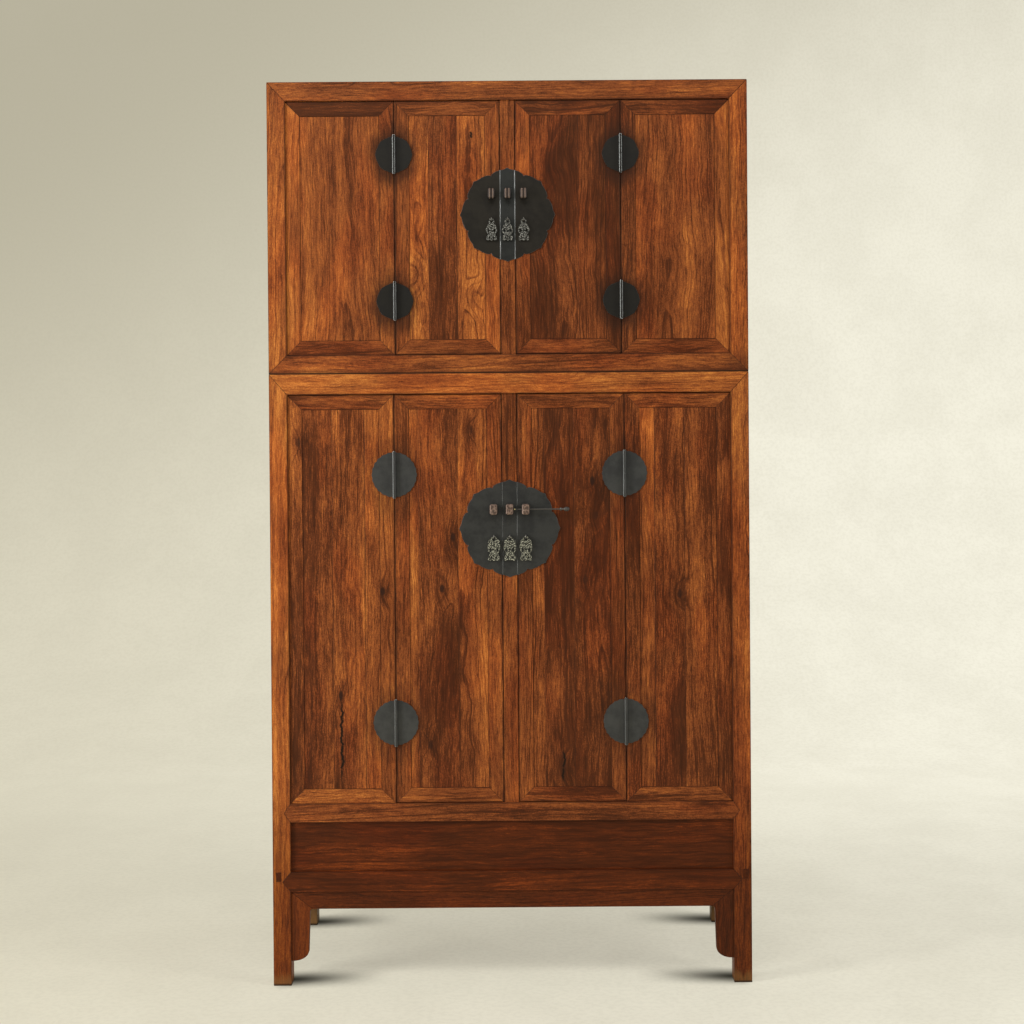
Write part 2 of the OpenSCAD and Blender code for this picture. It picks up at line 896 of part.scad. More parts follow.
module upper_right_pull()
    color("gray") upper_lock_place()
        translate([staple_pitch, 0, 0]) pull(upper_ring_down, upper_pull_size, false);

module upper_centre_pull()
    color("gray") upper_lock_place() pull(upper_ring_down, upper_pull_size, false);

lower_posts();
lower_top_rails();
lower_top_panel();
lower_sill_rails();
lower_base_rails();
lower_side_panels();
lower_back_panels();
lower_side_leaves();
lower_shelf();
compartment_floor();
compartment_front_panel();
compartment_lid_left();
compartment_lid_right();
front_apron();
side_aprons();
lower_fixed_hinge_leaves();
lower_hinge_pins();
lower_left_door_frame();
lower_left_door_panel();
lower_left_door_hinges();
lower_left_lock_plate();
lower_left_staples();
lower_left_pull();
lower_right_door_frame();
lower_right_door_panel();
lower_right_door_hinges();
lower_right_lock_plate();
lower_right_staples();
lower_right_pull();
lower_centre_stile();
lower_centre_lock_plate();
lower_centre_staples();
lower_centre_pull();
lock_rod();
upper_posts();
upper_top_rails();
upper_top_panel();
upper_bottom_rails();
upper_floor();
upper_side_panels();
upper_back_panels();
upper_side_leaves();
upper_fixed_hinge_leaves();
upper_hinge_pins();
upper_left_door_frame();
upper_left_door_panel();
upper_left_door_hinges();
upper_left_lock_plate();
upper_left_staples();
upper_left_pull();
upper_right_door_frame();
upper_right_door_panel();
upper_right_door_hinges();
upper_right_lock_plate();
upper_right_staples();
upper_right_pull();
upper_centre_stile();
upper_centre_lock_plate();
upper_centre_staples();
upper_centre_pull();
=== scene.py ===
import math
import random

import bpy
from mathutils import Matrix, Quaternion, Vector


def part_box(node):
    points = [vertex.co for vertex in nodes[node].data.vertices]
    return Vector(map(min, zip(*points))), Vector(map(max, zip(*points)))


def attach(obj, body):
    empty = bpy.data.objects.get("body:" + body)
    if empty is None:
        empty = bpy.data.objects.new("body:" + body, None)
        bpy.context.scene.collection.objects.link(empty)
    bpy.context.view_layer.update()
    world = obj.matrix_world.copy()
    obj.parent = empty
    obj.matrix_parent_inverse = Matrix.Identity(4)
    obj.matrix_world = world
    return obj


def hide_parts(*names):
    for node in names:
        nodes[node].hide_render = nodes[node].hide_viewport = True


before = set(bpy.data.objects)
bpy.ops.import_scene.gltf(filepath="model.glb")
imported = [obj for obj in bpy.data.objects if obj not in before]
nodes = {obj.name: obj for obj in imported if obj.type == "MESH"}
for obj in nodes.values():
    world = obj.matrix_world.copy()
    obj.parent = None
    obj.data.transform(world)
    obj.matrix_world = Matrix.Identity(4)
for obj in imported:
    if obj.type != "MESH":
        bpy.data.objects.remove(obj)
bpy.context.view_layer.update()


# Lower cabinet, posts. Four square posts run down as legs, planed true, with arrises that
# years of handling have softened. The front two are oiled; the rear two are dusty below.

def pick(*pieces):
    """Leaves only these pieces selected, the first of them active."""
    bpy.ops.object.select_all(action="DESELECT")
    for piece in pieces:
        piece.select_set(True)
    bpy.context.view_layer.objects.active = pieces[0]


def copy_of(node, name):
    """A copy of a CAD node as clean faces, its triangles joined up, and members that only
    touch along an edge parted there."""
    piece = bpy.data.objects.new(name, nodes[node].data.copy())
    bpy.context.scene.collection.objects.link(piece)
    pick(piece)
    bpy.ops.object.mode_set(mode="EDIT")
    bpy.ops.mesh.select_all(action="SELECT")
    bpy.ops.mesh.remove_doubles(threshold=0.00001)
    bpy.ops.mesh.dissolve_limited(angle_limit=math.radians(0.4))
    bpy.ops.mesh.select_mode(type="EDGE")
    bpy.ops.mesh.select_all(action="DESELECT")
    bpy.ops.mesh.select_non_manifold(extend=False, use_wire=False, use_boundary=False,
                                     use_multi_face=True, use_non_contiguous=False, use_verts=False)
    bpy.ops.mesh.edge_split(type="EDGE")
    bpy.ops.mesh.select_mode(type="VERT")
    bpy.ops.object.mode_set(mode="OBJECT")
    return piece


def soften(piece, width, segments=2):
    """Breaks the sharp edges, as a plane or a file does, and keeps the faces flat."""
    pick(piece)
    edge = piece.modifiers.new("arris", "BEVEL")
    edge.width = width
    edge.segments = segments
    edge.limit_method = "ANGLE"
    edge.angle_limit = math.radians(25)
    edge.use_clamp_overlap = False
    bpy.ops.object.modifier_apply(modifier="arris")
    bpy.ops.object.shade_smooth_by_angle(angle=math.radians(35))
    level = piece.modifiers.new("flat_faces", "WEIGHTED_NORMAL")
    level.keep_sharp = True
    bpy.ops.object.modifier_apply(modifier="flat_faces")
    return piece


def loose_parts(mesh):
    """The vertex numbers of each part that hangs together, in order of place."""
    home = list(range(len(mesh.vertices)))

    def root(i):
        while home[i] != i:
            home[i] = home[home[i]]
            i = home[i]
        return i

    for edge in mesh.edges:
        home[root(edge.vertices[0])] = root(edge.vertices[1])
    parts = {}
    for i in range(len(home)):
        parts.setdefault(root(i), []).append(i)
    return sorted(parts.values(), key=lambda part: [
        round(min(mesh.vertices[i].co[k] for i in part), 4) for k in range(3)])


def lay_grain(piece, boards=(), tone=0.5, plane="xz", hubs=(), inward=True, outer=0.0033):
    """Each board gets grain along its length and a tone from 0, darkest, to 1, golden.
    A row of boards is the middle of a board in mm, its tone, and how far its heart lies
    to the side: a near heart gives arched figure, a far one straight lines. Dirt and painted
    shade gather at the edges that border a gap, on the side of the hub, in mm, or away from
    it, and less at the others: "outer" is how far beyond them, in m, they would be thickest.
    The narrow faces of the broken edges are marked for painted shade as well."""
    mesh = piece.data
    u, v = ("xyz".index(letter) for letter in plane)
    board_of = {}
    for number, part in enumerate(loose_parts(mesh)):
        chance = random.Random(f"{piece.name} {number}")
        corners = [mesh.vertices[i].co for i in part]
        low = [min(co[k] for co in corners) for k in range(3)]
        high = [max(co[k] for co in corners) for k in range(3)]
        middle = [(a + b) / 2 for a, b in zip(low, high)]
        thick, wide, long = sorted(range(3), key=lambda k: high[k] - low[k])
        shade, heart = tone + chance.uniform(-0.05, 0.05), chance.uniform(-90, 90)
        if boards:
            spot = (middle[u] * 1000, middle[v] * 1000)
            shade, heart = min(boards, key=lambda row: math.dist(row[:2], spot))[2:]
        start = (middle[wide] + heart / 1000, middle[thick] + chance.uniform(0.026, 0.04),
                 chance.uniform(5, 60))
        lag = {wide: [outer, outer], thick: [outer, outer]}
        for k in {wide, thick} & {u, v} if hubs else ():
            hub = min(hubs, key=lambda row: math.dist(row, (middle[u] * 1000, middle[v] * 1000)))
            to_high = hub[(u, v).index(k)] / 1000 > middle[k]
            lag[k][1 if to_high == inward else 0] = 0.0
        for i in part:
            board_of[i] = (thick, wide, long, start, shade, low, high, lag)
    titles = ("grain", "rim", "tone", "arris")
    for title, kind in zip(titles, ("FLOAT_VECTOR", "FLOAT_VECTOR", "FLOAT", "FLOAT")):
        mesh.attributes.new(title, kind, "CORNER")
    grain, rim, shades, arris = (mesh.attributes[title].data for title in titles)
    for face in mesh.polygons:
        thick, wide, long, start, shade, low, high, lag = board_of[face.vertices[0]]
        along = abs(face.normal[long])
        corners = [mesh.vertices[i].co for i in face.vertices]
        following = corners[1:] + corners[:1]
        longest = max(math.dist(one, other) for one, other in zip(corners, following))
        narrow = face.area < longest * 0.0013
        side = wide if abs(face.normal[wide]) < abs(face.normal[thick]) else thick
        for loop in face.loop_indices:
            co = mesh.vertices[mesh.loops[loop].vertex_index].co
            grain[loop].vector = (co[wide] - start[0], co[thick] - start[1], co[long] + start[2])
            rim[loop].vector = (co[side] - low[side] + lag[side][0],
                                high[side] - co[side] + lag[side][1], 0)
            shades[loop].value = shade - (0.45 if along > 0.95 else 0)
            arris[loop].value = 1 if narrow else 0
    return piece


def place(tree, kind, feeds=None, **settings):
    """Puts a node in a tree, with its settings, and feeds its inputs with values or sockets."""
    node = tree.nodes.new("ShaderNode" + kind)
    for name, value in settings.items():
        setattr(node, name, value)
    for key, value in (feeds or {}).items():
        if isinstance(value, bpy.types.NodeSocket):
            tree.links.new(value, node.inputs[key])
        else:
            node.inputs[key].default_value = value
    return node


def calc(tree, operation, a, b=0.0, c=0.0):
    return place(tree, "Math", {0: a, 1: b, 2: c}, operation=operation).outputs[0]


def times(tree, a, b):
    return calc(tree, "MULTIPLY", a, b)


def apart(tree, a, b):
    return calc(tree, "ABSOLUTE", calc(tree, "SUBTRACT", a, b))


def distance(tree, a, b):
    """How far a point lies that is a to one side and b to the other."""
    return calc(tree, "SQRT", calc(tree, "ADD", times(tree, a, a), times(tree, b, b)))


def between(tree, value, low, high, to_low=0.0, to_high=1.0):
    """Runs smoothly from to_low to to_high while the value goes from low to high."""
    return place(tree, "MapRange", {0: value, 1: low, 2: high, 3: to_low, 4: to_high},
                 interpolation_type="SMOOTHSTEP").outputs[0]


def blended(tree, share, a, b, way="MIX"):
    return place(tree, "Mix", {0: share, 6: a, 7: b}, data_type="RGBA", blend_type=way).outputs[2]


def tinted(tree, colour, tint):
    return blended(tree, 1.0, colour, tint, "MULTIPLY")


def axes(tree, vector):
    return place(tree, "SeparateXYZ", {0: vector}).outputs


def stretched(tree, vector, x, y, z):
    return place(tree, "VectorMath", {0: vector, 1: (x, y, z)}, operation="MULTIPLY").outputs[0]


def mottle(tree, vector, scale, detail=2.0, rough=0.5):
    """Noise from 0 to 1 whose grain is as fine along each axis as its scale says."""
    return place(tree, "TexNoise", {"Vector": stretched(tree, vector, *scale), "Scale": 1.0,
                                    "Detail": detail, "Roughness": rough}).outputs[0]


def middle_height(node):
    """How high the middle of a CAD node lies, in mm."""
    return 500 * sum(corner[2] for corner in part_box(node))


def paint(red, green, blue):
    """A colour as a screen names it, turned into the light that it sends back."""
    return tuple(((c / 255 + 0.055) / 1.055) ** 2.4 if c > 10 else c / 3294.6
                 for c in (red, green, blue)) + (1.0,)


def new_group(name, inputs, outputs):
    tree = bpy.data.node_groups.new(name, "ShaderNodeTree")
    kinds = {"v": "NodeSocketVector", "f": "NodeSocketFloat", "c": "NodeSocketColor"}
    for title, kind in inputs:
        tree.interface.new_socket(name=title, in_out="INPUT", socket_type=kinds[kind])
    for title, kind in outputs:
        tree.interface.new_socket(name=title, in_out="OUTPUT", socket_type=kinds[kind])
    return tree, tree.nodes.new("NodeGroupInput").outputs, tree.nodes.new("NodeGroupOutput").inputs


def wood_grain_group():
    """Year rings round a heart that wanders, knots that push them aside, streaks, stains,
    fibre and pores, and the dirt and painted shade that gather in joints."""
    tree, given, result = new_group(
        "wood_grain",
        [("Grain", "v"), ("Place", "v"), ("Tone", "f"), ("Arris", "f"), ("Rim", "v"), ("Ring", "f"),
         ("Figure", "f"), ("Knots", "f"), ("Contrast", "f"), ("Rings", "f"),
         ("Knot A", "v"), ("Knot B", "v"), ("Knot C", "v"), ("Knot D", "v")],
        [("Color", "c"), ("Roughness", "f"), ("Height", "f")])
    grain = given["Grain"]
    part = axes(tree, grain)
    sway = calc(tree, "SUBTRACT", mottle(tree, grain, (3, 3, 1.6), 1.0), 0.5)
    ripple = calc(tree, "SUBTRACT", mottle(tree, grain, (10, 10, 11)), 0.5)
    drift = calc(tree, "MULTIPLY_ADD", ripple, 0.012, times(tree, sway, 0.05))
    drift = times(tree, drift, given["Figure"])

    # Knots: some fall by chance, up to four lie where they are put.
    spread = stretched(tree, grain, 5.5, 5.5, 3.4)
    cells = place(tree, "TexVoronoi", {"Vector": spread, "Scale": 1.0})
    drawn = place(tree, "SeparateColor", {0: cells.outputs["Color"]}).outputs[0]
    has_knot = calc(tree, "LESS_THAN", drawn, given["Knots"])
    swell = times(tree, has_knot, between(tree, cells.outputs["Distance"], 0.34, 0.0, 0.0, 0.8))
    heart = times(tree, has_knot, between(tree, cells.outputs["Distance"], 0.060, 0.012))
    spot = axes(tree, given["Place"])
    for name in ("Knot A", "Knot B", "Knot C", "Knot D"):
        there = axes(tree, given[name])
        aside = calc(tree, "SUBTRACT", spot[0], there[0])
        along = times(tree, calc(tree, "SUBTRACT", spot[2], there[2]), 0.5)
        far = distance(tree, aside, along)
        swell = calc(tree, "ADD", swell, between(tree, far, 0.040, 0.0, 0.0, 1.3))
        core = times(tree, between(tree, far, 0.0090, 0.0040), there[1])
        heart = calc(tree, "MAXIMUM", heart, core)

    # Year rings: a saw tooth over the distance from the heart.
    across = calc(tree, "ADD", part[0], drift)
    radius = calc(tree, "MULTIPLY_ADD", part[2], 0.013, distance(tree, across, part[1]))
    waves = times(tree, ripple, given["Figure"])
    radius = calc(tree, "MULTIPLY_ADD", waves, 0.006, radius)
    radius = calc(tree, "MULTIPLY_ADD", swell, 0.014, radius)
    turns = calc(tree, "DIVIDE", radius, given["Ring"])
    uneven = place(tree, "TexNoise", {"W": turns, "Scale": 0.45, "Detail": 2.0},
                   noise_dimensions="1D").outputs[0]
    turns = calc(tree, "MULTIPLY_ADD", uneven, 2.4, turns)
    saw = calc(tree, "FRACT", turns)
    late = times(tree, between(tree, saw, 0.5, 0.9), between(tree, saw, 1.0, 0.92))
    strong = place(tree, "TexNoise", {"W": turns, "Scale": 0.6, "Detail": 1.0},
                   noise_dimensions="1D").outputs[0]
    ring = times(tree, late, between(tree, strong, 0.38, 0.66, 0.2, 1.0))

    # Fibre, streaks, pores and veins, drawn out along the grain.
    pushed = calc(tree, "MULTIPLY_ADD", swell, 0.010, across)
    lean = place(tree, "CombineXYZ", {0: pushed, 1: part[1], 2: part[2]}).outputs[0]
    fibre = mottle(tree, lean, (330, 330, 26), 3.0, 0.75)
    streak = mottle(tree, lean, (120, 120, 7), 3.0, 0.65)
    band = mottle(tree, lean, (40, 40, 1.6))
    flame = mottle(tree, lean, (46, 46, 15), 3.0, 0.6)
    cloud = mottle(tree, lean, (13, 13, 4.5), 3.0, 0.55)
    pores = between(tree, mottle(tree, lean, (700, 700, 45), 1.0), 0.58, 0.68)
    dots = mottle(tree, lean, (230, 230, 70), 2.0, 0.4)
    fleck = times(tree, between(tree, dots, 0.57, 0.65), between(tree, cloud, 0.36, 0.56))
    threads = mottle(tree, lean, (230, 230, 3.2))
    line = times(tree, between(tree, threads, 0.57, 0.66), between(tree, flame, 0.32, 0.56))
    gleam = between(tree, mottle(tree, lean, (270, 270, 9)), 0.58, 0.68)
    speck = mottle(tree, grain, (400, 400, 280), 2.0, 0.6)
    broad = mottle(tree, lean, (12, 12, 0.8))
    ribbon = mottle(tree, lean, (38, 38, 1.2))
    contour = apart(tree, ribbon, 0.5)
    vein = times(tree, between(tree, contour, 0.020, 0.002), between(tree, flame, 0.30, 0.55))

    # All of them shift one tone, and a ramp turns it into a colour.
    tone = given["Tone"]
    for value, share in ((cloud, 0.84), (broad, 0.64), (band, 0.36), (flame, 0.20),
                         (streak, 0.36), (fibre, 1.12), (speck, 0.64)):
        share = times(tree, given["Contrast"], share)
        tone = calc(tree, "MULTIPLY_ADD", calc(tree, "SUBTRACT", value, 0.5), share, tone)
    tone = calc(tree, "MULTIPLY_ADD", gleam, 0.08, tone)
    tone = calc(tree, "MULTIPLY_ADD", ring, times(tree, given["Rings"], -0.26), tone)
    tone = calc(tree, "MULTIPLY_ADD", fleck, -0.09, tone)
    tone = calc(tree, "MULTIPLY_ADD", line, times(tree, given["Contrast"], -0.11), tone)
    tone = calc(tree, "MULTIPLY_ADD", vein, times(tree, given["Contrast"], -0.09), tone)
    tone = calc(tree, "MULTIPLY_ADD", between(tree, swell, 0.35, 1.1), -0.13, tone)
    stain = place(tree, "ValToRGB", {0: tone})
    ramp = stain.color_ramp.elements
    ramp[0].position, ramp[0].color = 0.0, paint(70, 32, 13)
    ramp[1].position, ramp[1].color = 1.0, paint(202, 126, 56)
    for at, colour in ((0.25, paint(89, 42, 17)), (0.5, paint(126, 65, 30)),
                       (0.75, paint(162, 91, 39))):
        ramp.new(at).color = colour
    colour = stain.outputs[0]
    red = mottle(tree, lean, (9, 9, 3.2))
    colour = blended(tree, between(tree, red, 0.44, 0.66), colour,
                     tinted(tree, colour, paint(255, 238, 232)))
    deep = times(tree, between(tree, streak, 0.56, 0.40), between(tree, tone, 0.5, 0.1, 0.12, 0.7))
    colour = blended(tree, deep, colour, tinted(tree, colour, paint(196, 190, 186)))
    colour = blended(tree, times(tree, pores, 0.24), colour, paint(58, 28, 15))
    colour = blended(tree, times(tree, heart, 0.92), colour, paint(34, 17, 12))

    # Dirt and painted shade along the joints and on the broken edges, and how the surface shines
    # and feels.
    edges = axes(tree, given["Rim"])
    edge = between(tree, calc(tree, "MINIMUM", edges[0], edges[1]), 0.0048, 0.0005, 0.0, 0.64)
    patchy = mottle(tree, grain, (40, 40, 14))
    edge = times(tree, edge, between(tree, patchy, 0.3, 0.62, 0.35, 1.0))
    joint_dirt_and_shade = calc(tree, "MAXIMUM", times(tree, given["Arris"], 0.5), edge)
    colour = blended(tree, joint_dirt_and_shade, colour, paint(36, 18, 12))
    tree.links.new(colour, result["Color"])
    rough = calc(tree, "MULTIPLY_ADD", pores, 0.15, calc(tree, "MULTIPLY_ADD", cloud, 0.2, 0.40))
    tree.links.new(calc(tree, "MULTIPLY_ADD", joint_dirt_and_shade, 0.2, rough), result["Roughness"])
    lift = calc(tree, "MULTIPLY_ADD", pores, -0.9, times(tree, fibre, 0.5))
    tree.links.new(calc(tree, "MULTIPLY_ADD", ring, -0.25, lift), result["Height"])
    return tree


wood_grain = wood_grain_group()


def wood(name, ring=0.0055, figure=1.0, knots=0.10, contrast=1.0, rings=1.0, coat=0.05,
         at=(), finish=None):
    """An oiled and waxed wood. The places in "at" are knots seen from the front, in mm, with
    how dark their heart is, and "finish" may change the colour before the surface gets it."""
    material = bpy.data.materials.new(name)
    material.use_nodes = True
    tree = material.node_tree
    surface = tree.nodes["Principled BSDF"]
    figured = place(tree, "Group", node_tree=wood_grain)
    where = place(tree, "TexCoord").outputs["Object"]
    tree.links.new(where, figured.inputs["Place"])
    for key, title, output in (("Grain", "grain", "Vector"), ("Rim", "rim", "Vector"),
                               ("Tone", "tone", "Fac"), ("Arris", "arris", "Fac")):
        attribute = place(tree, "Attribute", attribute_name=title)
        tree.links.new(attribute.outputs[output], figured.inputs[key])
    for key, value in (("Ring", ring), ("Figure", figure), ("Knots", knots),
                       ("Contrast", contrast), ("Rings", rings)):
        figured.inputs[key].default_value = value
    far_off = (9000, 9000, 0)
    for key, (x, z, dark) in zip(("Knot A", "Knot B", "Knot C", "Knot D"),
                                 list(at) + [far_off] * 4):
        figured.inputs[key].default_value = (x / 1000, dark, z / 1000)
    colour = figured.outputs["Color"]
    if finish:
        colour = finish(tree, colour, where)
    tree.links.new(colour, surface.inputs["Base Color"])
    tree.links.new(figured.outputs["Roughness"], surface.inputs["Roughness"])
    bump = place(tree, "Bump", {"Strength": 0.3, "Distance": 0.0005,
                                "Height": figured.outputs["Height"]})
    tree.links.new(bump.outputs[0], surface.inputs["Normal"])
    surface.inputs["Specular IOR Level"].default_value = 0.25
    surface.inputs["Specular Tint"].default_value = (1.0, 0.70, 0.45, 1.0)
    surface.inputs["Coat Weight"].default_value = coat
    surface.inputs["Coat Roughness"].default_value = 0.35
    return material


def finish_piece(piece, material, body, slot, *replaced):
    """Puts the finish on, and hands the piece to the body that carries it."""
    piece.data.materials.clear()
    piece.data.materials.append(material)
    for face in piece.data.polygons:
        face.material_index = 0
    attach(piece, body)
    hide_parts(*replaced)


def worn_and_shadowed_feet(tree, colour, where):
    """Darker towards the floor, dusty on the rear feet, then scuffed pale where brooms and
    damp reach, with a painted contact shadow, a dark line, where the foot stands."""
    part = axes(tree, where)
    low = between(tree, part[2], 0.66, 0.22, 0.0, 0.85)
    colour = blended(tree, low, colour, tinted(tree, colour, paint(160, 125, 92)))
    dusty = between(tree, part[2], 0.48, 0.22, 0.0, 0.70)
    rear = times(tree, between(tree, part[1], 0.22, 0.26), dusty)
    colour = blended(tree, rear, colour, paint(117, 92, 60))
    ragged = mottle(tree, where, (45, 45, 14), 4.0)
    ragged = calc(tree, "MULTIPLY_ADD", ragged, 0.07, part[2])
    scuffed = between(tree, ragged, 0.080, 0.045, 0.0, 0.40)
    colour = blended(tree, scuffed, colour, paint(132, 96, 54))
    # A painted contact shadow along the very bottom of the foot.
    return blended(tree, between(tree, part[2], 0.009, 0.003, 0.0, 0.85), colour, paint(34, 24, 18))


post_wood = wood("post_wood", ring=0.0062, figure=0.7, knots=0.08, finish=worn_and_shadowed_feet)
lower_posts = soften(copy_of("lower_posts", "lower_cabinet_posts"), 0.0011)
lay_grain(lower_posts, plane="xy", hubs=[(0, 10)], outer=0.0016, boards=[
    (-669, -273, 0.74, 62), (669, -273, 0.585, -70), (-669, 294, 0.45, 90), (669, 294, 0.45, -80)])
finish_piece(lower_posts, post_wood, "lower_cabinet", "frame_wood", "lower_posts")


# Lower cabinet, rails. Top rails mitred to the posts, sill rails with pointed shoulders,
# and base rails whose side members run through the posts as tenons, end grain showing.

rail_wood = wood("rail_wood", ring=0.0062, figure=0.8, knots=0.10)
lower_top = soften(copy_of("lower_top_rails", "lower_cabinet_top_rails"), 0.0011)
lay_grain(lower_top, plane="xz", hubs=[(0, 900)], outer=0.0016, boards=[
    (0, 1750, 0.76, 40), (-669, 1750, 0.66, 60), (669, 1750, 0.60, -60)])
finish_piece(lower_top, rail_wood, "lower_cabinet", "frame_wood", "lower_top_rails")

lower_mid = middle_height("lower_side_leaves")
sill = soften(copy_of("lower_sill_rails", "lower_cabinet_sill_rails"), 0.0011)
lay_grain(sill, hubs=[(0, lower_mid)], boards=[
    (0, 501, 0.47, 30), (-669, 501, 0.5, 60), (669, 501, 0.45, -60)])
finish_piece(sill, rail_wood, "lower_cabinet", "frame_wood", "lower_sill_rails")


def ruddy(tree, colour, where):
    """Old polish gone red and dark, low down where nobody renews it."""
    return tinted(tree, colour, paint(252, 222, 172))


base_wood = wood("base_rail_wood", ring=0.0062, figure=0.8, knots=0.05, contrast=0.85,
                 finish=ruddy)
base = soften(copy_of("lower_base_rails", "lower_cabinet_base_rails"), 0.0011)
lay_grain(base, plane="xy", boards=[
    (0, -273, 0.20, 45), (0, 294, 0.25, 60), (-669, 10, 0.25, 60), (669, 10, 0.22, -60)])
finish_piece(base, base_wood, "lower_cabinet", "frame_wood", "lower_base_rails")


# Hidden compartment. One level-grained board fills the front between sill and base rails;
# its floor and two loose lids lie inside, dry and unwaxed.

def sawn(piece, axis, cuts):
    """Saws the panels of a piece into glued boards. Parts that run along the axis, such as
    battens, stay whole."""
    k = "xyz".index(axis)
    normal = tuple(1.0 if i == k else 0.0 for i in range(3))
    pick(piece)
    bpy.ops.object.mode_set(mode="EDIT")
    bpy.ops.mesh.select_all(action="SELECT")
    bpy.ops.mesh.separate(type="LOOSE")
    bpy.ops.object.mode_set(mode="OBJECT")
    parts, whole = list(bpy.context.selected_objects), []
    for part in parts:
        corners = [vertex.co for vertex in part.data.vertices]
        low = [min(co[i] for co in corners) for i in range(3)]
        high = [max(co[i] for co in corners) for i in range(3)]
        inside = [cut / 1000 for cut in sorted(cuts)
                  if low[k] + 0.01 < cut / 1000 < high[k] - 0.01]
        if max(range(3), key=lambda i: high[i] - low[i]) == k or not inside:
            whole.append(part)
            continue
        for left, right in zip([None] + inside, inside + [None]):
            board = part.copy()
            board.data = part.data.copy()
            bpy.context.scene.collection.objects.link(board)
            pick(board)
            bpy.ops.object.mode_set(mode="EDIT")
            for side, lower in ((left, True), (right, False)):
                if side is not None:
                    bpy.ops.mesh.select_all(action="SELECT")
                    bpy.ops.mesh.bisect(plane_co=tuple(side * n for n in normal), plane_no=normal,
                                        use_fill=True, clear_inner=lower, clear_outer=not lower)
            bpy.ops.object.mode_set(mode="OBJECT")
            whole.append(board)
        bpy.data.objects.remove(part)
    pick(*whole)
    if len(whole) > 1:
        bpy.ops.object.join()
    return bpy.context.view_layer.objects.active


def boarded(node, name, axis, cuts, width):
    """A copy of a node sawn into its boards, with broken edges."""
    piece = sawn(copy_of(node, name), axis, cuts)
    piece.name = name
    return soften(piece, width)


front_board = soften(copy_of("compartment_front_panel", "compartment_front_board"), 0.0006)
lay_grain(front_board, boards=[(0, 396, 0.14, 40)])
board_wood = wood("compartment_wood", ring=0.008, figure=1.1, knots=0.0, contrast=0.95,
                  finish=ruddy)
finish_piece(front_board, board_wood, "lower_cabinet", "frame_wood", "compartment_front_panel")

dry_wood = wood("dry_inner_wood", ring=0.006, knots=0.12, contrast=0.8, coat=0.0)
for node, body, cuts in (("compartment_floor", "lower_cabinet", (-80, 110)),
                         ("compartment_lid_left", "left_lid", (-60, 95)),
                         ("compartment_lid_right", "right_lid", (-90, 80))):
    loose = lay_grain(boarded(node, node + "_boards", "y", cuts, 0.0006), tone=0.42)
    finish_piece(loose, dry_wood, body, "inner_wood", node)


# Aprons. A straight board under each base rail and a curved spandrel in each corner, cut
# from thin stock and let in between the legs, set a little behind their faces.

apron_wood = wood("apron_wood", ring=0.0055, figure=1.0, knots=0.06, contrast=0.7,
                  finish=worn_and_shadowed_feet)
apron = soften(copy_of("front_apron", "front_apron_boards"), 0.0009)
lay_grain(apron, boards=[(0, 241, 0.48, 30), (-612, 180, 0.50, 40), (612, 180, 0.36, -40)])
finish_piece(apron, apron_wood, "lower_cabinet", "frame_wood", "front_apron")

side_apron = soften(copy_of("side_aprons", "side_apron_boards"), 0.0009)
lay_grain(side_apron, tone=0.34)
finish_piece(side_apron, apron_wood, "lower_cabinet", "frame_wood", "side_aprons")


# Side, back and top panels. Wide fields glued up from several boards and held loose in the
# grooves of the frame; the back is plainer and drier than the sides.

case_wood = wood("case_panel_wood", ring=0.007, figure=1.2, knots=0.16, contrast=0.9)
back_wood = wood("back_panel_wood", ring=0.007, figure=1.2, knots=0.16, contrast=0.8, coat=0.0)
for node, body, axis, cuts, tone, material in (
        ("lower_side_panels", "lower_cabinet", "y", (-70, 120), 0.42, case_wood),
        ("lower_top_panel", "lower_cabinet", "y", (-70, 120), 0.40, dry_wood),
        ("lower_back_panels", "lower_cabinet", "x", (-450, -210, 240, 430), 0.30, back_wood),
        ("upper_side_panels", "upper_chest", "y", (-95, 90), 0.44, case_wood),
        ("upper_top_panel", "upper_chest", "y", (-80, 95), 0.46, case_wood),
        ("upper_back_panels", "upper_chest", "x", (-430, -230, 220, 450), 0.32, back_wood)):
    field = lay_grain(boarded(node, node + "_boards", axis, cuts, 0.0007), tone=tone)
    finish_piece(field, material, body, "case_panel_wood", node)

for node, body, axis, cuts in (("lower_shelf", "lower_cabinet", "y", (-110, 90)),
                               ("upper_floor", "upper_chest", "y", (-90, 100))):
    inner = lay_grain(boarded(node, node + "_boards", axis, cuts, 0.0008), tone=0.44)
    finish_piece(inner, dry_wood, body, "inner_wood", node)


# Lower cabinet, fixed leaves. Each is a mitred frame round a flush panel, glued up from
# boards whose colours differ, and held beside the doors by tongues top and bottom.

def drying_crack(x, z, reach, width):
    """A finish that opens a dark split in the wood, reach up and down from its place, in mm."""
    def finish(tree, colour, where):
        part = axes(tree, where)
        wander = mottle(tree, where, (0, 0, 22), 4.0, 0.7)
        drift = calc(tree, "MULTIPLY_ADD", calc(tree, "SUBTRACT", wander, 0.5), 0.035, part[0])
        off = apart(tree, drift, x / 1000)
        away = apart(tree, part[2], z / 1000)
        open_here = between(tree, mottle(tree, where, (0, 0, 60)), 0.28, 0.44)
        reach_here = times(tree, between(tree, away, reach / 1000, reach / 2000), open_here)
        gape = times(tree, reach_here, width / 1000)
        inside = between(tree, calc(tree, "SUBTRACT", off, gape), 0.0008, -0.0002)
        split = times(tree, inside, reach_here)
        fading = between(tree, away, reach / 1000, 0.0, 0.0, 0.55)
        rim = times(tree, between(tree, off, 0.012, 0.0), fading)
        colour = blended(tree, rim, colour, paint(66, 32, 18))
        return blended(tree, split, colour, paint(12, 8, 6))
    return finish


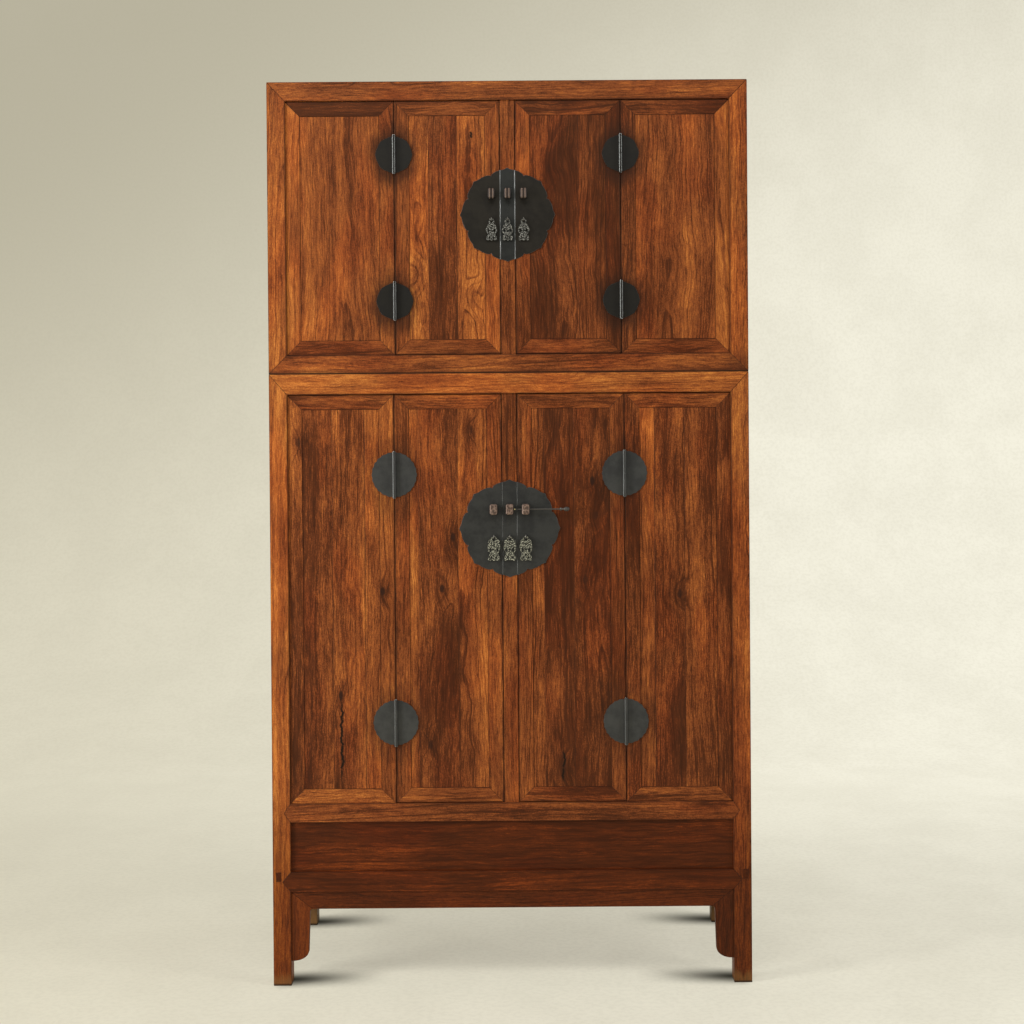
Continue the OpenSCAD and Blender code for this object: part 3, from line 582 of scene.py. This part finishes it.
def darkened_round_hinges(middle_x, hinge_x, middle_z, hinge_z, outer, inner, share):
    """A finish that darkens the wood round four hinges. They lie hinge_x to each side of
    middle_x and hinge_z above and below middle_z, in m. The dark begins about "outer" from
    each and has its full share within "inner"."""
    def finish(tree, colour, where):
        part = axes(tree, where)
        aside = apart(tree, part[0], middle_x)
        aside = calc(tree, "SUBTRACT", aside, hinge_x)
        high = apart(tree, part[2], middle_z)
        high = times(tree, calc(tree, "SUBTRACT", high, hinge_z), 0.78)
        far = distance(tree, aside, high)
        ragged = mottle(tree, where, (34, 34, 15), 3.0)
        ragged = calc(tree, "MULTIPLY_ADD", ragged, 0.040, far)
        halo = between(tree, ragged, outer, inner, 0.0, share)
        return blended(tree, halo, colour, paint(38, 18, 11))
    return finish


def layered(*finishes):
    """Several finishes, each laid over the one before."""
    def finish(tree, colour, where):
        for coat in finishes:
            colour = coat(tree, colour, where)
        return colour
    return finish


lower_hinge_halo = darkened_round_hinges(middle_x=0.0, hinge_x=0.334, middle_z=1.117, hinge_z=0.357,
                                 outer=0.136, inner=0.085, share=0.36)
lower_leaf_wood = wood("lower_leaf_wood", ring=0.0080, figure=1.0, knots=0.12, contrast=1.2,
                       at=[(-612, 1576, 0.7), (-494, 842, 1), (492, 1131, 0.8), (-370, 1144, 1)],
                       finish=layered(drying_crack(-492, 712, 150, 3.0), lower_hinge_halo))
leaves = boarded("lower_side_leaves", "lower_fixed_leaf_boards", "x", (-515, -420, 420, 508),
                 0.0007)
lay_grain(leaves, hubs=[(-489, lower_mid), (489, lower_mid)], inward=False, boards=[
    (-621, 1113, 0.40, 70), (-357, 1113, 0.49, -80), (-489, 1682, 0.62, 20), (-489, 544, 0.56, 30),
    (-560, 1113, 0.29, 55), (-467, 1113, 0.55, 90), (-396, 1113, 0.58, -60),
    (621, 1113, 0.33, -80), (357, 1113, 0.40, 75), (489, 1682, 0.56, -20), (489, 544, 0.44, 20),
    (396, 1113, 0.63, 70), (464, 1113, 0.31, 15), (558, 1113, 0.37, -60)])
finish_piece(leaves, lower_leaf_wood, "lower_cabinet", "leaf_wood", "lower_side_leaves")


# Lower doors. The same mitred frame and flush panel as the fixed leaves, four battens
# dovetailed across the back, and panels with the wildest figure and the most knots.

lower_frame_wood = wood("lower_door_frame_wood", ring=0.0066, figure=0.8, knots=0.06,
                        finish=lower_hinge_halo)
for side, rows in (("left", [(-311, 1114, 0.42, 70), (-45, 1114, 0.57, -60),
                             (-178, 1682, 0.49, 25), (-178, 546, 0.46, 20)]),
                   ("right", [(45, 1114, 0.38, 60), (311, 1114, 0.45, -75),
                              (178, 1682, 0.49, -20), (178, 546, 0.52, 15)])):
    door = f"lower_{side}_door"
    door_frame = soften(copy_of(door + "_frame", door + "_frame_members"), 0.0007)
    lay_grain(door_frame, hubs=[(-178, lower_mid), (178, lower_mid)], inward=False, boards=rows)
    finish_piece(door_frame, lower_frame_wood, door, "leaf_wood", door + "_frame")

left_panel_wood = wood("lower_left_door_panel_wood", ring=0.0085, figure=1.4, knots=0.22,
                       contrast=1.1, rings=1.3,
                       at=[(-112, 1611, 0.6), (-198, 1151, 1), (-165, 1300, 0.9),
                           (-235, 697, 0.8)],
                       finish=lower_hinge_halo)
left_panel = boarded("lower_left_door_panel", "lower_left_door_boards", "x", (-264, -150), 0.0005)
lay_grain(left_panel, boards=[
    (-281, 1114, 0.55, 40), (-207, 1114, 0.29, 12), (-105, 1114, 0.60, -30)])
finish_piece(left_panel, left_panel_wood, "lower_left_door", "panel_wood", "lower_left_door_panel")

right_panel_wood = wood("lower_right_door_panel_wood", ring=0.0085, figure=1.4, knots=0.20,
                        contrast=1.1, rings=1.3,
                        at=[(240, 1460, 1), (250, 1360, 0.5), (218, 1174, 0.6), (155, 627, 0.4)],
                        finish=layered(drying_crack(152, 634, 60, 2.6), lower_hinge_halo))
right_panel = boarded("lower_right_door_panel", "lower_right_door_boards", "x", (100, 186), 0.0005)
lay_grain(right_panel, boards=[
    (82, 1114, 0.50, 30), (143, 1114, 0.25, -15), (240, 1114, 0.24, 25)])
finish_piece(right_panel, right_panel_wood, "lower_right_door", "panel_wood",
             "lower_right_door_panel")

stile = soften(copy_of("lower_centre_stile", "lower_centre_stile_member"), 0.0008)
lay_grain(stile, boards=[(0, 1114, 0.44, 45)])
finish_piece(stile, lower_frame_wood, "lower_centre", "leaf_wood", "lower_centre_stile")


# Top chest, frame. Posts and rails mitred together at every corner, front faces flush,
# in the same lighter amber as the posts below.

def seated(tree, colour, where):
    """Dirt and painted shade along the foot of the chest, where it stands on the cabinet, a
    painted shadow line in the gap at its very foot, and a corner that has gone darker."""
    part = axes(tree, where)
    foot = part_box("upper_bottom_rails")[0][2]
    corner = times(tree, between(tree, part[0], 0.58, 0.68),
                   between(tree, part[2], foot + 0.08, foot + 0.02, 0.0, 0.5))
    shade = between(tree, part[2], foot + 0.018, foot + 0.003, 0.0, 0.42)
    colour = blended(tree, calc(tree, "MAXIMUM", corner, shade), colour, paint(58, 27, 15))
    # A painted shadow line in the gap where the chest stands on the cabinet.
    seam = between(tree, part[2], foot + 0.0058, foot + 0.0022, 0.0, 0.88)
    return blended(tree, seam, colour, paint(20, 11, 8))


upper_mid = middle_height("upper_side_leaves")
chest_wood = wood("chest_frame_wood", ring=0.0062, figure=0.9, knots=0.12, finish=seated)
for node, plane, hub, rows in (
        ("upper_posts", "xy", (0, 10), [
            (-669, -273, 0.62, 60), (669, -273, 0.64, -60),
            (-669, 294, 0.5, 80), (669, 294, 0.5, -80)]),
        ("upper_top_rails", "xz", (0, upper_mid), [
            (0, 2590, 0.52, 35), (-669, 2590, 0.62, 60), (669, 2590, 0.58, -60)]),
        ("upper_bottom_rails", "xz", (0, upper_mid), [
            (0, 1800, 0.55, 30), (-669, 1800, 0.56, 60), (669, 1800, 0.52, -60)])):
    members = soften(copy_of(node, node + "_members"), 0.0011)
    lay_grain(members, plane=plane, hubs=[hub], outer=0.0016, boards=rows)
    finish_piece(members, chest_wood, "upper_chest", "frame_wood", node)


# Top chest, fixed leaves, doors and centre stile. Built as below, with dark rails at top
# and bottom of every leaf, and the wood darkened round the hinges.

chest_hinge_halo = darkened_round_hinges(middle_x=-0.004, hinge_x=0.329, middle_z=2.190, hinge_z=0.212,
                                 outer=0.112, inner=0.062, share=0.78)
chest_leaf_wood = wood("chest_leaf_wood", ring=0.0080, figure=1.3, knots=0.06, contrast=1.0,
                       finish=chest_hinge_halo)
leaves = soften(copy_of("upper_side_leaves", "upper_fixed_leaf_boards"), 0.0007)
lay_grain(leaves, hubs=[(-486, upper_mid), (486, upper_mid)], inward=False, boards=[
    (-621, 2182, 0.72, 70), (-351, 2182, 0.57, -60), (-486, 2183, 0.52, 12),
    (-486, 2524, 0.14, 15), (-486, 1841, 0.38, 20),
    (621, 2182, 0.70, -20), (351, 2182, 0.24, 60), (486, 2183, 0.48, -20),
    (486, 2524, 0.30, 15), (486, 1841, 0.42, 20)])
finish_piece(leaves, chest_leaf_wood, "upper_chest", "leaf_wood", "upper_side_leaves")

chest_panel_wood = wood("chest_door_panel_wood", ring=0.0085, figure=1.4, knots=0.10,
                        contrast=1.05, rings=1.5,
                        at=[(-266, 2063, 0.1), (-100, 1998, 0.1), (120, 2366, 0.3)],
                        finish=layered(drying_crack(-104, 2466, 14, 2.4), chest_hinge_halo))
for side, rows, cuts, panel_rows in (
        ("left", [(-305, 2183, 0.49, 60), (-45, 2183, 0.50, -50), (-175, 2524, 0.42, 20),
                  (-175, 1843, 0.48, 20)],
         (-229, -146), [(-260, 2183, 0.78, 8), (-187, 2183, 0.35, 80), (-102, 2183, 0.63, -10)]),
        ("right", [(45, 2183, 0.50, 55), (305, 2183, 0.26, -60), (175, 2524, 0.30, 20),
                   (175, 1843, 0.38, 20)],
         (205,), [(132, 2183, 0.32, 14), (248, 2183, 0.34, 60)])):
    door = f"upper_{side}_door"
    door_frame = soften(copy_of(door + "_frame", door + "_frame_members"), 0.0007)
    lay_grain(door_frame, hubs=[(-175, upper_mid), (175, upper_mid)], inward=False, boards=rows)
    finish_piece(door_frame, chest_leaf_wood, door, "leaf_wood", door + "_frame")
    panel = boarded(door + "_panel", door + "_boards", "x", cuts, 0.0005)
    lay_grain(panel, boards=panel_rows)
    finish_piece(panel, chest_panel_wood, door, "panel_wood", door + "_panel")

stile = soften(copy_of("upper_centre_stile", "upper_centre_stile_member"), 0.0008)
lay_grain(stile, boards=[(0, 2183, 0.47, 40)])
finish_piece(stile, chest_leaf_wood, "upper_centre", "leaf_wood", "upper_centre_stile")


# Hinges. Round plates of blackened iron sheet cut in two, the halves curled into a barrel
# round a pin. The barrels carry painted highlight lines; the lower plates have a scalloped edge.

def iron_group():
    """Forged sheet: soft hammer dimples, a mottled skin and fine scratches."""
    tree, given, result = new_group(
        "forged_iron",
        [("Place", "v"), ("Skin", "c"), ("Rub", "c"), ("Rubbed", "f")],
        [("Color", "c"), ("Roughness", "f"), ("Height", "f")])
    where = given["Place"]
    cloud = mottle(tree, where, (22, 22, 22), 4.0, 0.6)
    grit = mottle(tree, where, (600, 600, 600), 2.0, 0.6)
    scratch = between(tree, mottle(tree, where, (900, 900, 40), 1.0), 0.62, 0.74)
    colour = blended(tree, between(tree, cloud, 0.35, 0.68, 0.0, 0.55), given["Skin"],
                     tinted(tree, given["Skin"], paint(150, 150, 158)))
    colour = blended(tree, times(tree, grit, 0.25), colour, paint(30, 26, 22))
    rubbed = times(tree, given["Rubbed"], between(tree, grit, 0.3, 0.55, 0.85, 1.0))
    colour = blended(tree, rubbed, colour, given["Rub"])
    tree.links.new(colour, result["Color"])
    rough = calc(tree, "MULTIPLY_ADD", cloud, 0.22, calc(tree, "MULTIPLY_ADD", grit, 0.12, 0.30))
    tree.links.new(calc(tree, "MULTIPLY_ADD", given["Rubbed"], -0.20, rough), result["Roughness"])
    dimples = mottle(tree, where, (55, 55, 55))
    height = calc(tree, "MULTIPLY_ADD", grit, 0.2, dimples)
    tree.links.new(calc(tree, "MULTIPLY_ADD", scratch, -0.1, height), result["Height"])
    return tree


forged_iron = iron_group()


def arris_value(tree):
    return place(tree, "Attribute", attribute_name="arris").outputs["Fac"]


def iron(name, skin, rub_and_highlight, rubbed, metallic=0.75, bump=0.3, lift=0.0006):
    """Iron with a dark skin, made bright where the mask that "rubbed" makes says: rubbed
    wear on some pieces, a painted highlight on others.
    """
    material = bpy.data.materials.new(name)
    material.use_nodes = True
    tree = material.node_tree
    surface = tree.nodes["Principled BSDF"]
    where = place(tree, "TexCoord").outputs["Object"]
    sheet = place(tree, "Group", node_tree=forged_iron)
    tree.links.new(where, sheet.inputs["Place"])
    sheet.inputs["Skin"].default_value = skin
    sheet.inputs["Rub"].default_value = rub_and_highlight
    tree.links.new(rubbed(tree, where), sheet.inputs["Rubbed"])
    tree.links.new(sheet.outputs["Color"], surface.inputs["Base Color"])
    tree.links.new(sheet.outputs["Roughness"], surface.inputs["Roughness"])
    relief = place(tree, "Bump", {"Strength": bump, "Distance": lift,
                                  "Height": sheet.outputs["Height"]})
    tree.links.new(relief.outputs[0], surface.inputs["Normal"])
    surface.inputs["Metallic"].default_value = metallic
    return material


def mark_arris(piece):
    """Notes on each face whether it is a broken edge, where hands wear the iron bright."""
    mesh = piece.data
    arris = mesh.attributes.new("arris", "FLOAT", "CORNER")
    for face in mesh.polygons:
        slant = max(abs(value) for value in face.normal) < 0.985
        for loop in face.loop_indices:
            arris.data[loop].value = 1 if slant else 0
    return piece


def barrel_highlight_and_rim_rub(hinge_x, lines):
    """Paints highlight lines along the barrels, which stand out in front of the leaves. A line
    is its distance from the pin's axis and its strength; the rims of the plates are rubbed a
    little."""
    def mask(tree, where):
        part = axes(tree, where)
        side = calc(tree, "LESS_THAN", part[0], 0.0)
        aside = calc(tree, "ADD", part[0], calc(tree, "MULTIPLY_ADD", side, hinge_x * 2, -hinge_x))
        rubbed = times(tree, arris_value(tree), 0.30)
        barrel_back, barrel_front = -0.2963, -0.2970
        ahead = between(tree, part[1], barrel_back, barrel_front)
        # Each line is a painted highlight down the front of the barrel.
        for off, strength in lines:
            away = apart(tree, aside, off)
            near = between(tree, away, 0.0016, 0.0006, 0.0, strength)
            rubbed = calc(tree, "MAXIMUM", rubbed, times(tree, near, ahead))
        return rubbed
    return mask


# The lines here are painted highlights on the hinge barrels, in the second colour.
for level, hinge_x, lines, skin, rub_and_highlight, cabinet in (
        ("lower", 0.334, ((-0.0020, 1.0), (0.0036, 0.2)),
         paint(73, 73, 70), paint(70, 71, 68), "lower_cabinet"),
        ("upper", 0.328, ((-0.0030, 1.0), (0.0032, 0.8)),
         paint(35, 32, 26), paint(76, 77, 74), "upper_chest")):
    hinge_iron = iron(f"{level}_hinge_iron", skin, rub_and_highlight, barrel_highlight_and_rim_rub(hinge_x, lines), metallic=0.5)
    for node, body in ((f"{level}_fixed_hinge_leaves", cabinet),
                       (f"{level}_left_door_hinges", f"{level}_left_door"),
                       (f"{level}_right_door_hinges", f"{level}_right_door")):
        plate = mark_arris(soften(copy_of(node, node + "_iron"), 0.0004))
        finish_piece(plate, hinge_iron, body, f"{level}_iron", node)
    pin_iron = iron(f"{level}_pin_iron", rub_and_highlight, paint(150, 150, 146),
                    lambda tree, where: arris_value(tree))
    pins = mark_arris(soften(copy_of(f"{level}_hinge_pins", f"{level}_pin_iron_rods"), 0.0003))
    finish_piece(pins, pin_iron, cabinet, "hinge_barrel", f"{level}_hinge_pins")


# Lock plates. One lobed disc on each cabinet, cut in three so that the doors open: a half
# on each door and a strip on the centre stile, whose long edges carry a painted highlight.

def seam_highlight_and_rim_rub(share, edge):
    """Paints a highlight along the long edges beside the centre strip, and rubs the rims of the
    lobes less bright.
    """
    def mask(tree, where):
        part = axes(tree, where)
        half_strip = 0.0212
        off = apart(tree, calc(tree, "ABSOLUTE", part[0]), half_strip)
        worn = mottle(tree, where, (20, 20, 26), 3.0)
        worn = between(tree, worn, 0.35, 0.6, 0.4, 1.0)
        # A painted highlight along each long edge of the centre strip.
        seam = times(tree, between(tree, off, edge, edge * 0.45), worn)
        return calc(tree, "MULTIPLY_ADD", seam, share, times(tree, arris_value(tree), 0.22))
    return mask


for level, skin, rub_and_highlight, share, edge in (
        ("lower", paint(74, 74, 71), paint(132, 134, 130), 0.40, 0.0014),
        ("upper", paint(54, 50, 43), paint(168, 170, 168), 0.85, 0.0019)):
    for side, body in (("left", f"{level}_left_door"), ("centre", f"{level}_centre"),
                       ("right", f"{level}_right_door")):
        # The upper centre strip gets a lighter skin, a painted sheen.
        painted_sheen_strip = (level, side) == ("upper", "centre")
        plate_iron = iron(f"{level}_{side}_lock_iron", paint(60, 61, 58) if painted_sheen_strip else skin, rub_and_highlight,
                          seam_highlight_and_rim_rub(share, edge))
        node = f"{level}_{side}_lock_plate"
        plate = mark_arris(soften(copy_of(node, node + "_iron"), 0.0005))
        finish_piece(plate, plate_iron, body, f"{level}_iron", node)


# Staples and rings. Forged blocks with bevelled faces, bored for the rod and worn brown,
# and wire rings below them that carry the pulls.

def edge_rub(tree, where):
    return times(tree, arris_value(tree), 0.8)


def mottled_rub(tree, where):
    """Worn in patches on the face, and a little along the edges."""
    patches = mottle(tree, where, (150, 150, 150))
    patches = between(tree, patches, 0.45, 0.62, 0.0, 0.9)
    return calc(tree, "MAXIMUM", patches, times(tree, arris_value(tree), 0.35))


def ridge_rub(tree, where):
    """Two upright ridges on each staple, left by the hammer and rubbed bright."""
    part = axes(tree, where)
    spacing = 0.0465
    turn = calc(tree, "ADD", part[0], 2.5 * spacing)
    turn = calc(tree, "FRACT", calc(tree, "DIVIDE", turn, spacing))
    aside = apart(tree, turn, 0.5)
    ridge = between(tree, apart(tree, aside, 0.10), 0.048, 0.015)
    behind_face, face = -0.305, -0.3065
    return times(tree, ridge, between(tree, part[1], behind_face, face))


ring_iron = iron("ring_iron", paint(54, 50, 44), paint(110, 106, 98), edge_rub, metallic=0.5)
for level, skin, rub_and_highlight, worn, ring_top in (
        ("lower", paint(100, 80, 68), paint(150, 126, 110), mottled_rub, 1.350),
        ("upper", paint(58, 45, 38), paint(140, 120, 106), ridge_rub, 2.260)):
    staple_iron = iron(f"{level}_staple_iron", skin, rub_and_highlight, worn, metallic=0.4, bump=0.8, lift=0.001)
    for side, body in (("left", f"{level}_left_door"), ("centre", f"{level}_centre"),
                       ("right", f"{level}_right_door")):
        node = f"{level}_{side}_staples"
        staple = mark_arris(soften(copy_of(node, node + "_iron"), 0.0003))
        finish_piece(staple, staple_iron, body, "worn_iron", node)
        staple.data.materials.append(ring_iron)
        for face in staple.data.polygons:
            face.material_index = 1 if face.center.z < ring_top else 0


# Pulls. Pierced plates cast with scrolls in relief, high parts rubbed to bare pale metal
# and hollows left dark, each hung from its ring.

def scroll_relief(tree, where):
    """Bright on the high parts of the casting, dark in the hollows; less bright up on the
    chest, where fewer hands reach."""
    lumps = mottle(tree, where, (330, 330, 330), 2.0, 0.6)
    part = axes(tree, where)
    on_chest = calc(tree, "GREATER_THAN", part[2], 2.0)
    return between(tree, calc(tree, "MULTIPLY_ADD", on_chest, -0.02, lumps), 0.49, 0.59)


for level, rub_and_highlight in (("lower", paint(190, 188, 166)), ("upper", paint(176, 174, 164))):
    pull_metal = iron(f"{level}_pull_metal", paint(44, 43, 36), rub_and_highlight, scroll_relief,
                      metallic=0.35, bump=1.0, lift=0.0012)
    for side in ("left", "centre", "right"):
        node = f"{level}_{side}_pull"
        pull = mark_arris(soften(copy_of(node, node + "_casting"), 0.0002, 1))
        finish_piece(pull, pull_metal, f"{level}_{side}_pull_swing", "pull_metal", node)


# Lock rod. A round iron rod that runs through the lower staples, with a turned knob at its
# right end and a tip rubbed yellow.

def rod_tip(tree, where):
    part = axes(tree, where)
    return between(tree, part[0], 0.018, 0.014)


rod_iron = iron("lock_rod_iron", paint(92, 88, 82), paint(196, 180, 120), rod_tip)
rod = mark_arris(soften(copy_of("lock_rod", "lock_rod_iron_bar"), 0.0004))
finish_piece(rod, rod_iron, "rod", "rod_iron", "lock_rod")


# Floor and backdrop. One pale paper sweep, level under the cabinet and curving up behind
# it; it is not part of the object.

bpy.ops.object.select_all(action="DESELECT")
bpy.ops.mesh.primitive_grid_add(x_subdivisions=2, y_subdivisions=80, size=1)
sweep = bpy.context.object
sweep.name = "paper_sweep"
bpy.ops.object.mode_set(mode="EDIT")
bpy.ops.mesh.select_all(action="SELECT")
bpy.ops.transform.resize(value=(24, 16, 1))
bpy.ops.object.mode_set(mode="OBJECT")
bend_at, bend = 2.5, 2.4
for vertex in sweep.data.vertices:
    reach = vertex.co.y - bend_at
    if reach > 0:
        turn = min(reach / bend, math.pi / 2)
        rest = max(0.0, reach - bend * math.pi / 2)
        vertex.co.y = bend_at + bend * math.sin(turn)
        vertex.co.z = bend * (1 - math.cos(turn)) + rest * 3.0
bpy.ops.object.shade_smooth()
paper = bpy.data.materials.new("pale_paper")
paper.use_nodes = True
tree = paper.node_tree
tree.nodes.clear()
where = place(tree, "TexCoord").outputs["Object"]
part = axes(tree, where)
fleck = mottle(tree, where, (2.2, 2.2, 2.2), 5.0, 0.7)
# The paper's tone is painted shade: lighter to the right, darker in the upper left corner and
# higher up.
side = between(tree, part[0], -2.8, 2.6)
shade = blended(tree, side, paint(221, 215, 193), paint(247, 243, 225))
corner = calc(tree, "MULTIPLY_ADD", part[0], -0.55, part[2])
shade = blended(tree, between(tree, corner, 1.5, 5.8, 0.0, 0.88), shade, paint(174, 168, 146))
shade = blended(tree, between(tree, part[2], 1.0, 5.0, 0.0, 0.28), shade, paint(196, 190, 170))
shade = blended(tree, between(tree, fleck, 0.35, 0.65, 0.0, 0.12), shade, paint(190, 184, 164))
tooth = mottle(tree, where, (60, 60, 60), 3.0, 0.6)
shade = blended(tree, between(tree, tooth, 0.40, 0.66, 0.0, 0.10), shade, paint(176, 170, 150))
# A soft shade on the paper at each foot, drawn out towards the middle.
for foot_x, foot_y, inward in ((-0.643, -0.245, 1), (-0.643, 0.305, 1),
                               (0.643, -0.245, -1), (0.643, 0.305, -1)):
    aside = times(tree, calc(tree, "SUBTRACT", part[0], foot_x), inward)
    behind = calc(tree, "MULTIPLY_ADD", aside, -0.06, calc(tree, "SUBTRACT", part[1], foot_y))
    run = times(tree, between(tree, aside, 0.30, -0.02), between(tree, aside, -0.06, -0.02))
    streak = times(tree, between(tree, calc(tree, "ABSOLUTE", behind), 0.092, 0.0), run)
    shade = blended(tree, streak, shade, paint(52, 51, 43))
# Seen by the camera, the paper mostly glows, so that its tone stays even behind the cabinet.
lit = place(tree, "BsdfDiffuse", {"Color": shade})
glow = place(tree, "Emission", {"Color": shade, "Strength": 1.0})
path = place(tree, "LightPath").outputs
seen = calc(tree, "MAXIMUM", path["Is Camera Ray"],
            calc(tree, "MAXIMUM", path["Is Glossy Ray"], path["Is Transmission Ray"]))
flat = between(tree, part[1], -0.4, 2.6, 0.55, 1.0)
mix = place(tree, "MixShader", {0: times(tree, seen, flat), 1: lit.outputs[0],
                                2: glow.outputs[0]})
place(tree, "OutputMaterial", {"Surface": mix.outputs[0]})
sweep.data.materials.append(paper)


# Light. A tall soft source on the left and a weaker one on the right, which the hinge
# barrels show as two lines, a wide one high in front, and an even pale surround.

def softbox(name, spot, aim, width, height, power):
    lamp = bpy.data.lights.new(name, "AREA")
    lamp.shape = "RECTANGLE"
    lamp.size, lamp.size_y = width, height
    lamp.energy = power
    holder = bpy.data.objects.new(name, lamp)
    bpy.context.scene.collection.objects.link(holder)
    holder.location = spot
    holder.rotation_euler = (Vector(aim) - Vector(spot)).to_track_quat("-Z", "Y").to_euler()


softbox("left_softbox", (-4.3, -2.3, 2.1), (0, -0.3, 1.5), 1.3, 4.0, 232)
softbox("right_softbox", (4.3, -2.2, 3.2), (0, -0.3, 1.6), 1.2, 2.2, 95)
softbox("high_softbox", (-0.5, -3.6, 5.4), (0, -0.3, 1.4), 3.0, 1.6, 90)
world = bpy.data.worlds.new("pale_surround")
bpy.context.scene.world = world
world.use_nodes = True
world.node_tree.nodes["Background"].inputs[0].default_value = paint(214, 212, 206)
world.node_tree.nodes["Background"].inputs[1].default_value = 0.32


# Camera. It stands 4.6 m in front of the doors, a little right of the middle and 1.6 m up,
# tipped down by half a degree.

lens = bpy.data.cameras.new("camera")
lens.lens = 55.58
lens.sensor_width = 36
lens.shift_x = -0.0152
lens.shift_y = -0.0632
camera = bpy.data.objects.new("camera", lens)
bpy.context.scene.collection.objects.link(camera)
camera.location = (0.0474, -4.8795, 1.5942)
camera.rotation_mode = "QUATERNION"
pan, tip, roll = math.radians(-0.073), math.radians(89.56), math.radians(-0.416)
camera.rotation_quaternion = (Quaternion((0, 0, 1), pan) @ Quaternion((1, 0, 0), tip)
                              @ Quaternion((0, 0, 1), roll))
bpy.context.scene.camera = camera
bpy.context.scene.view_settings.view_transform = "Standard"
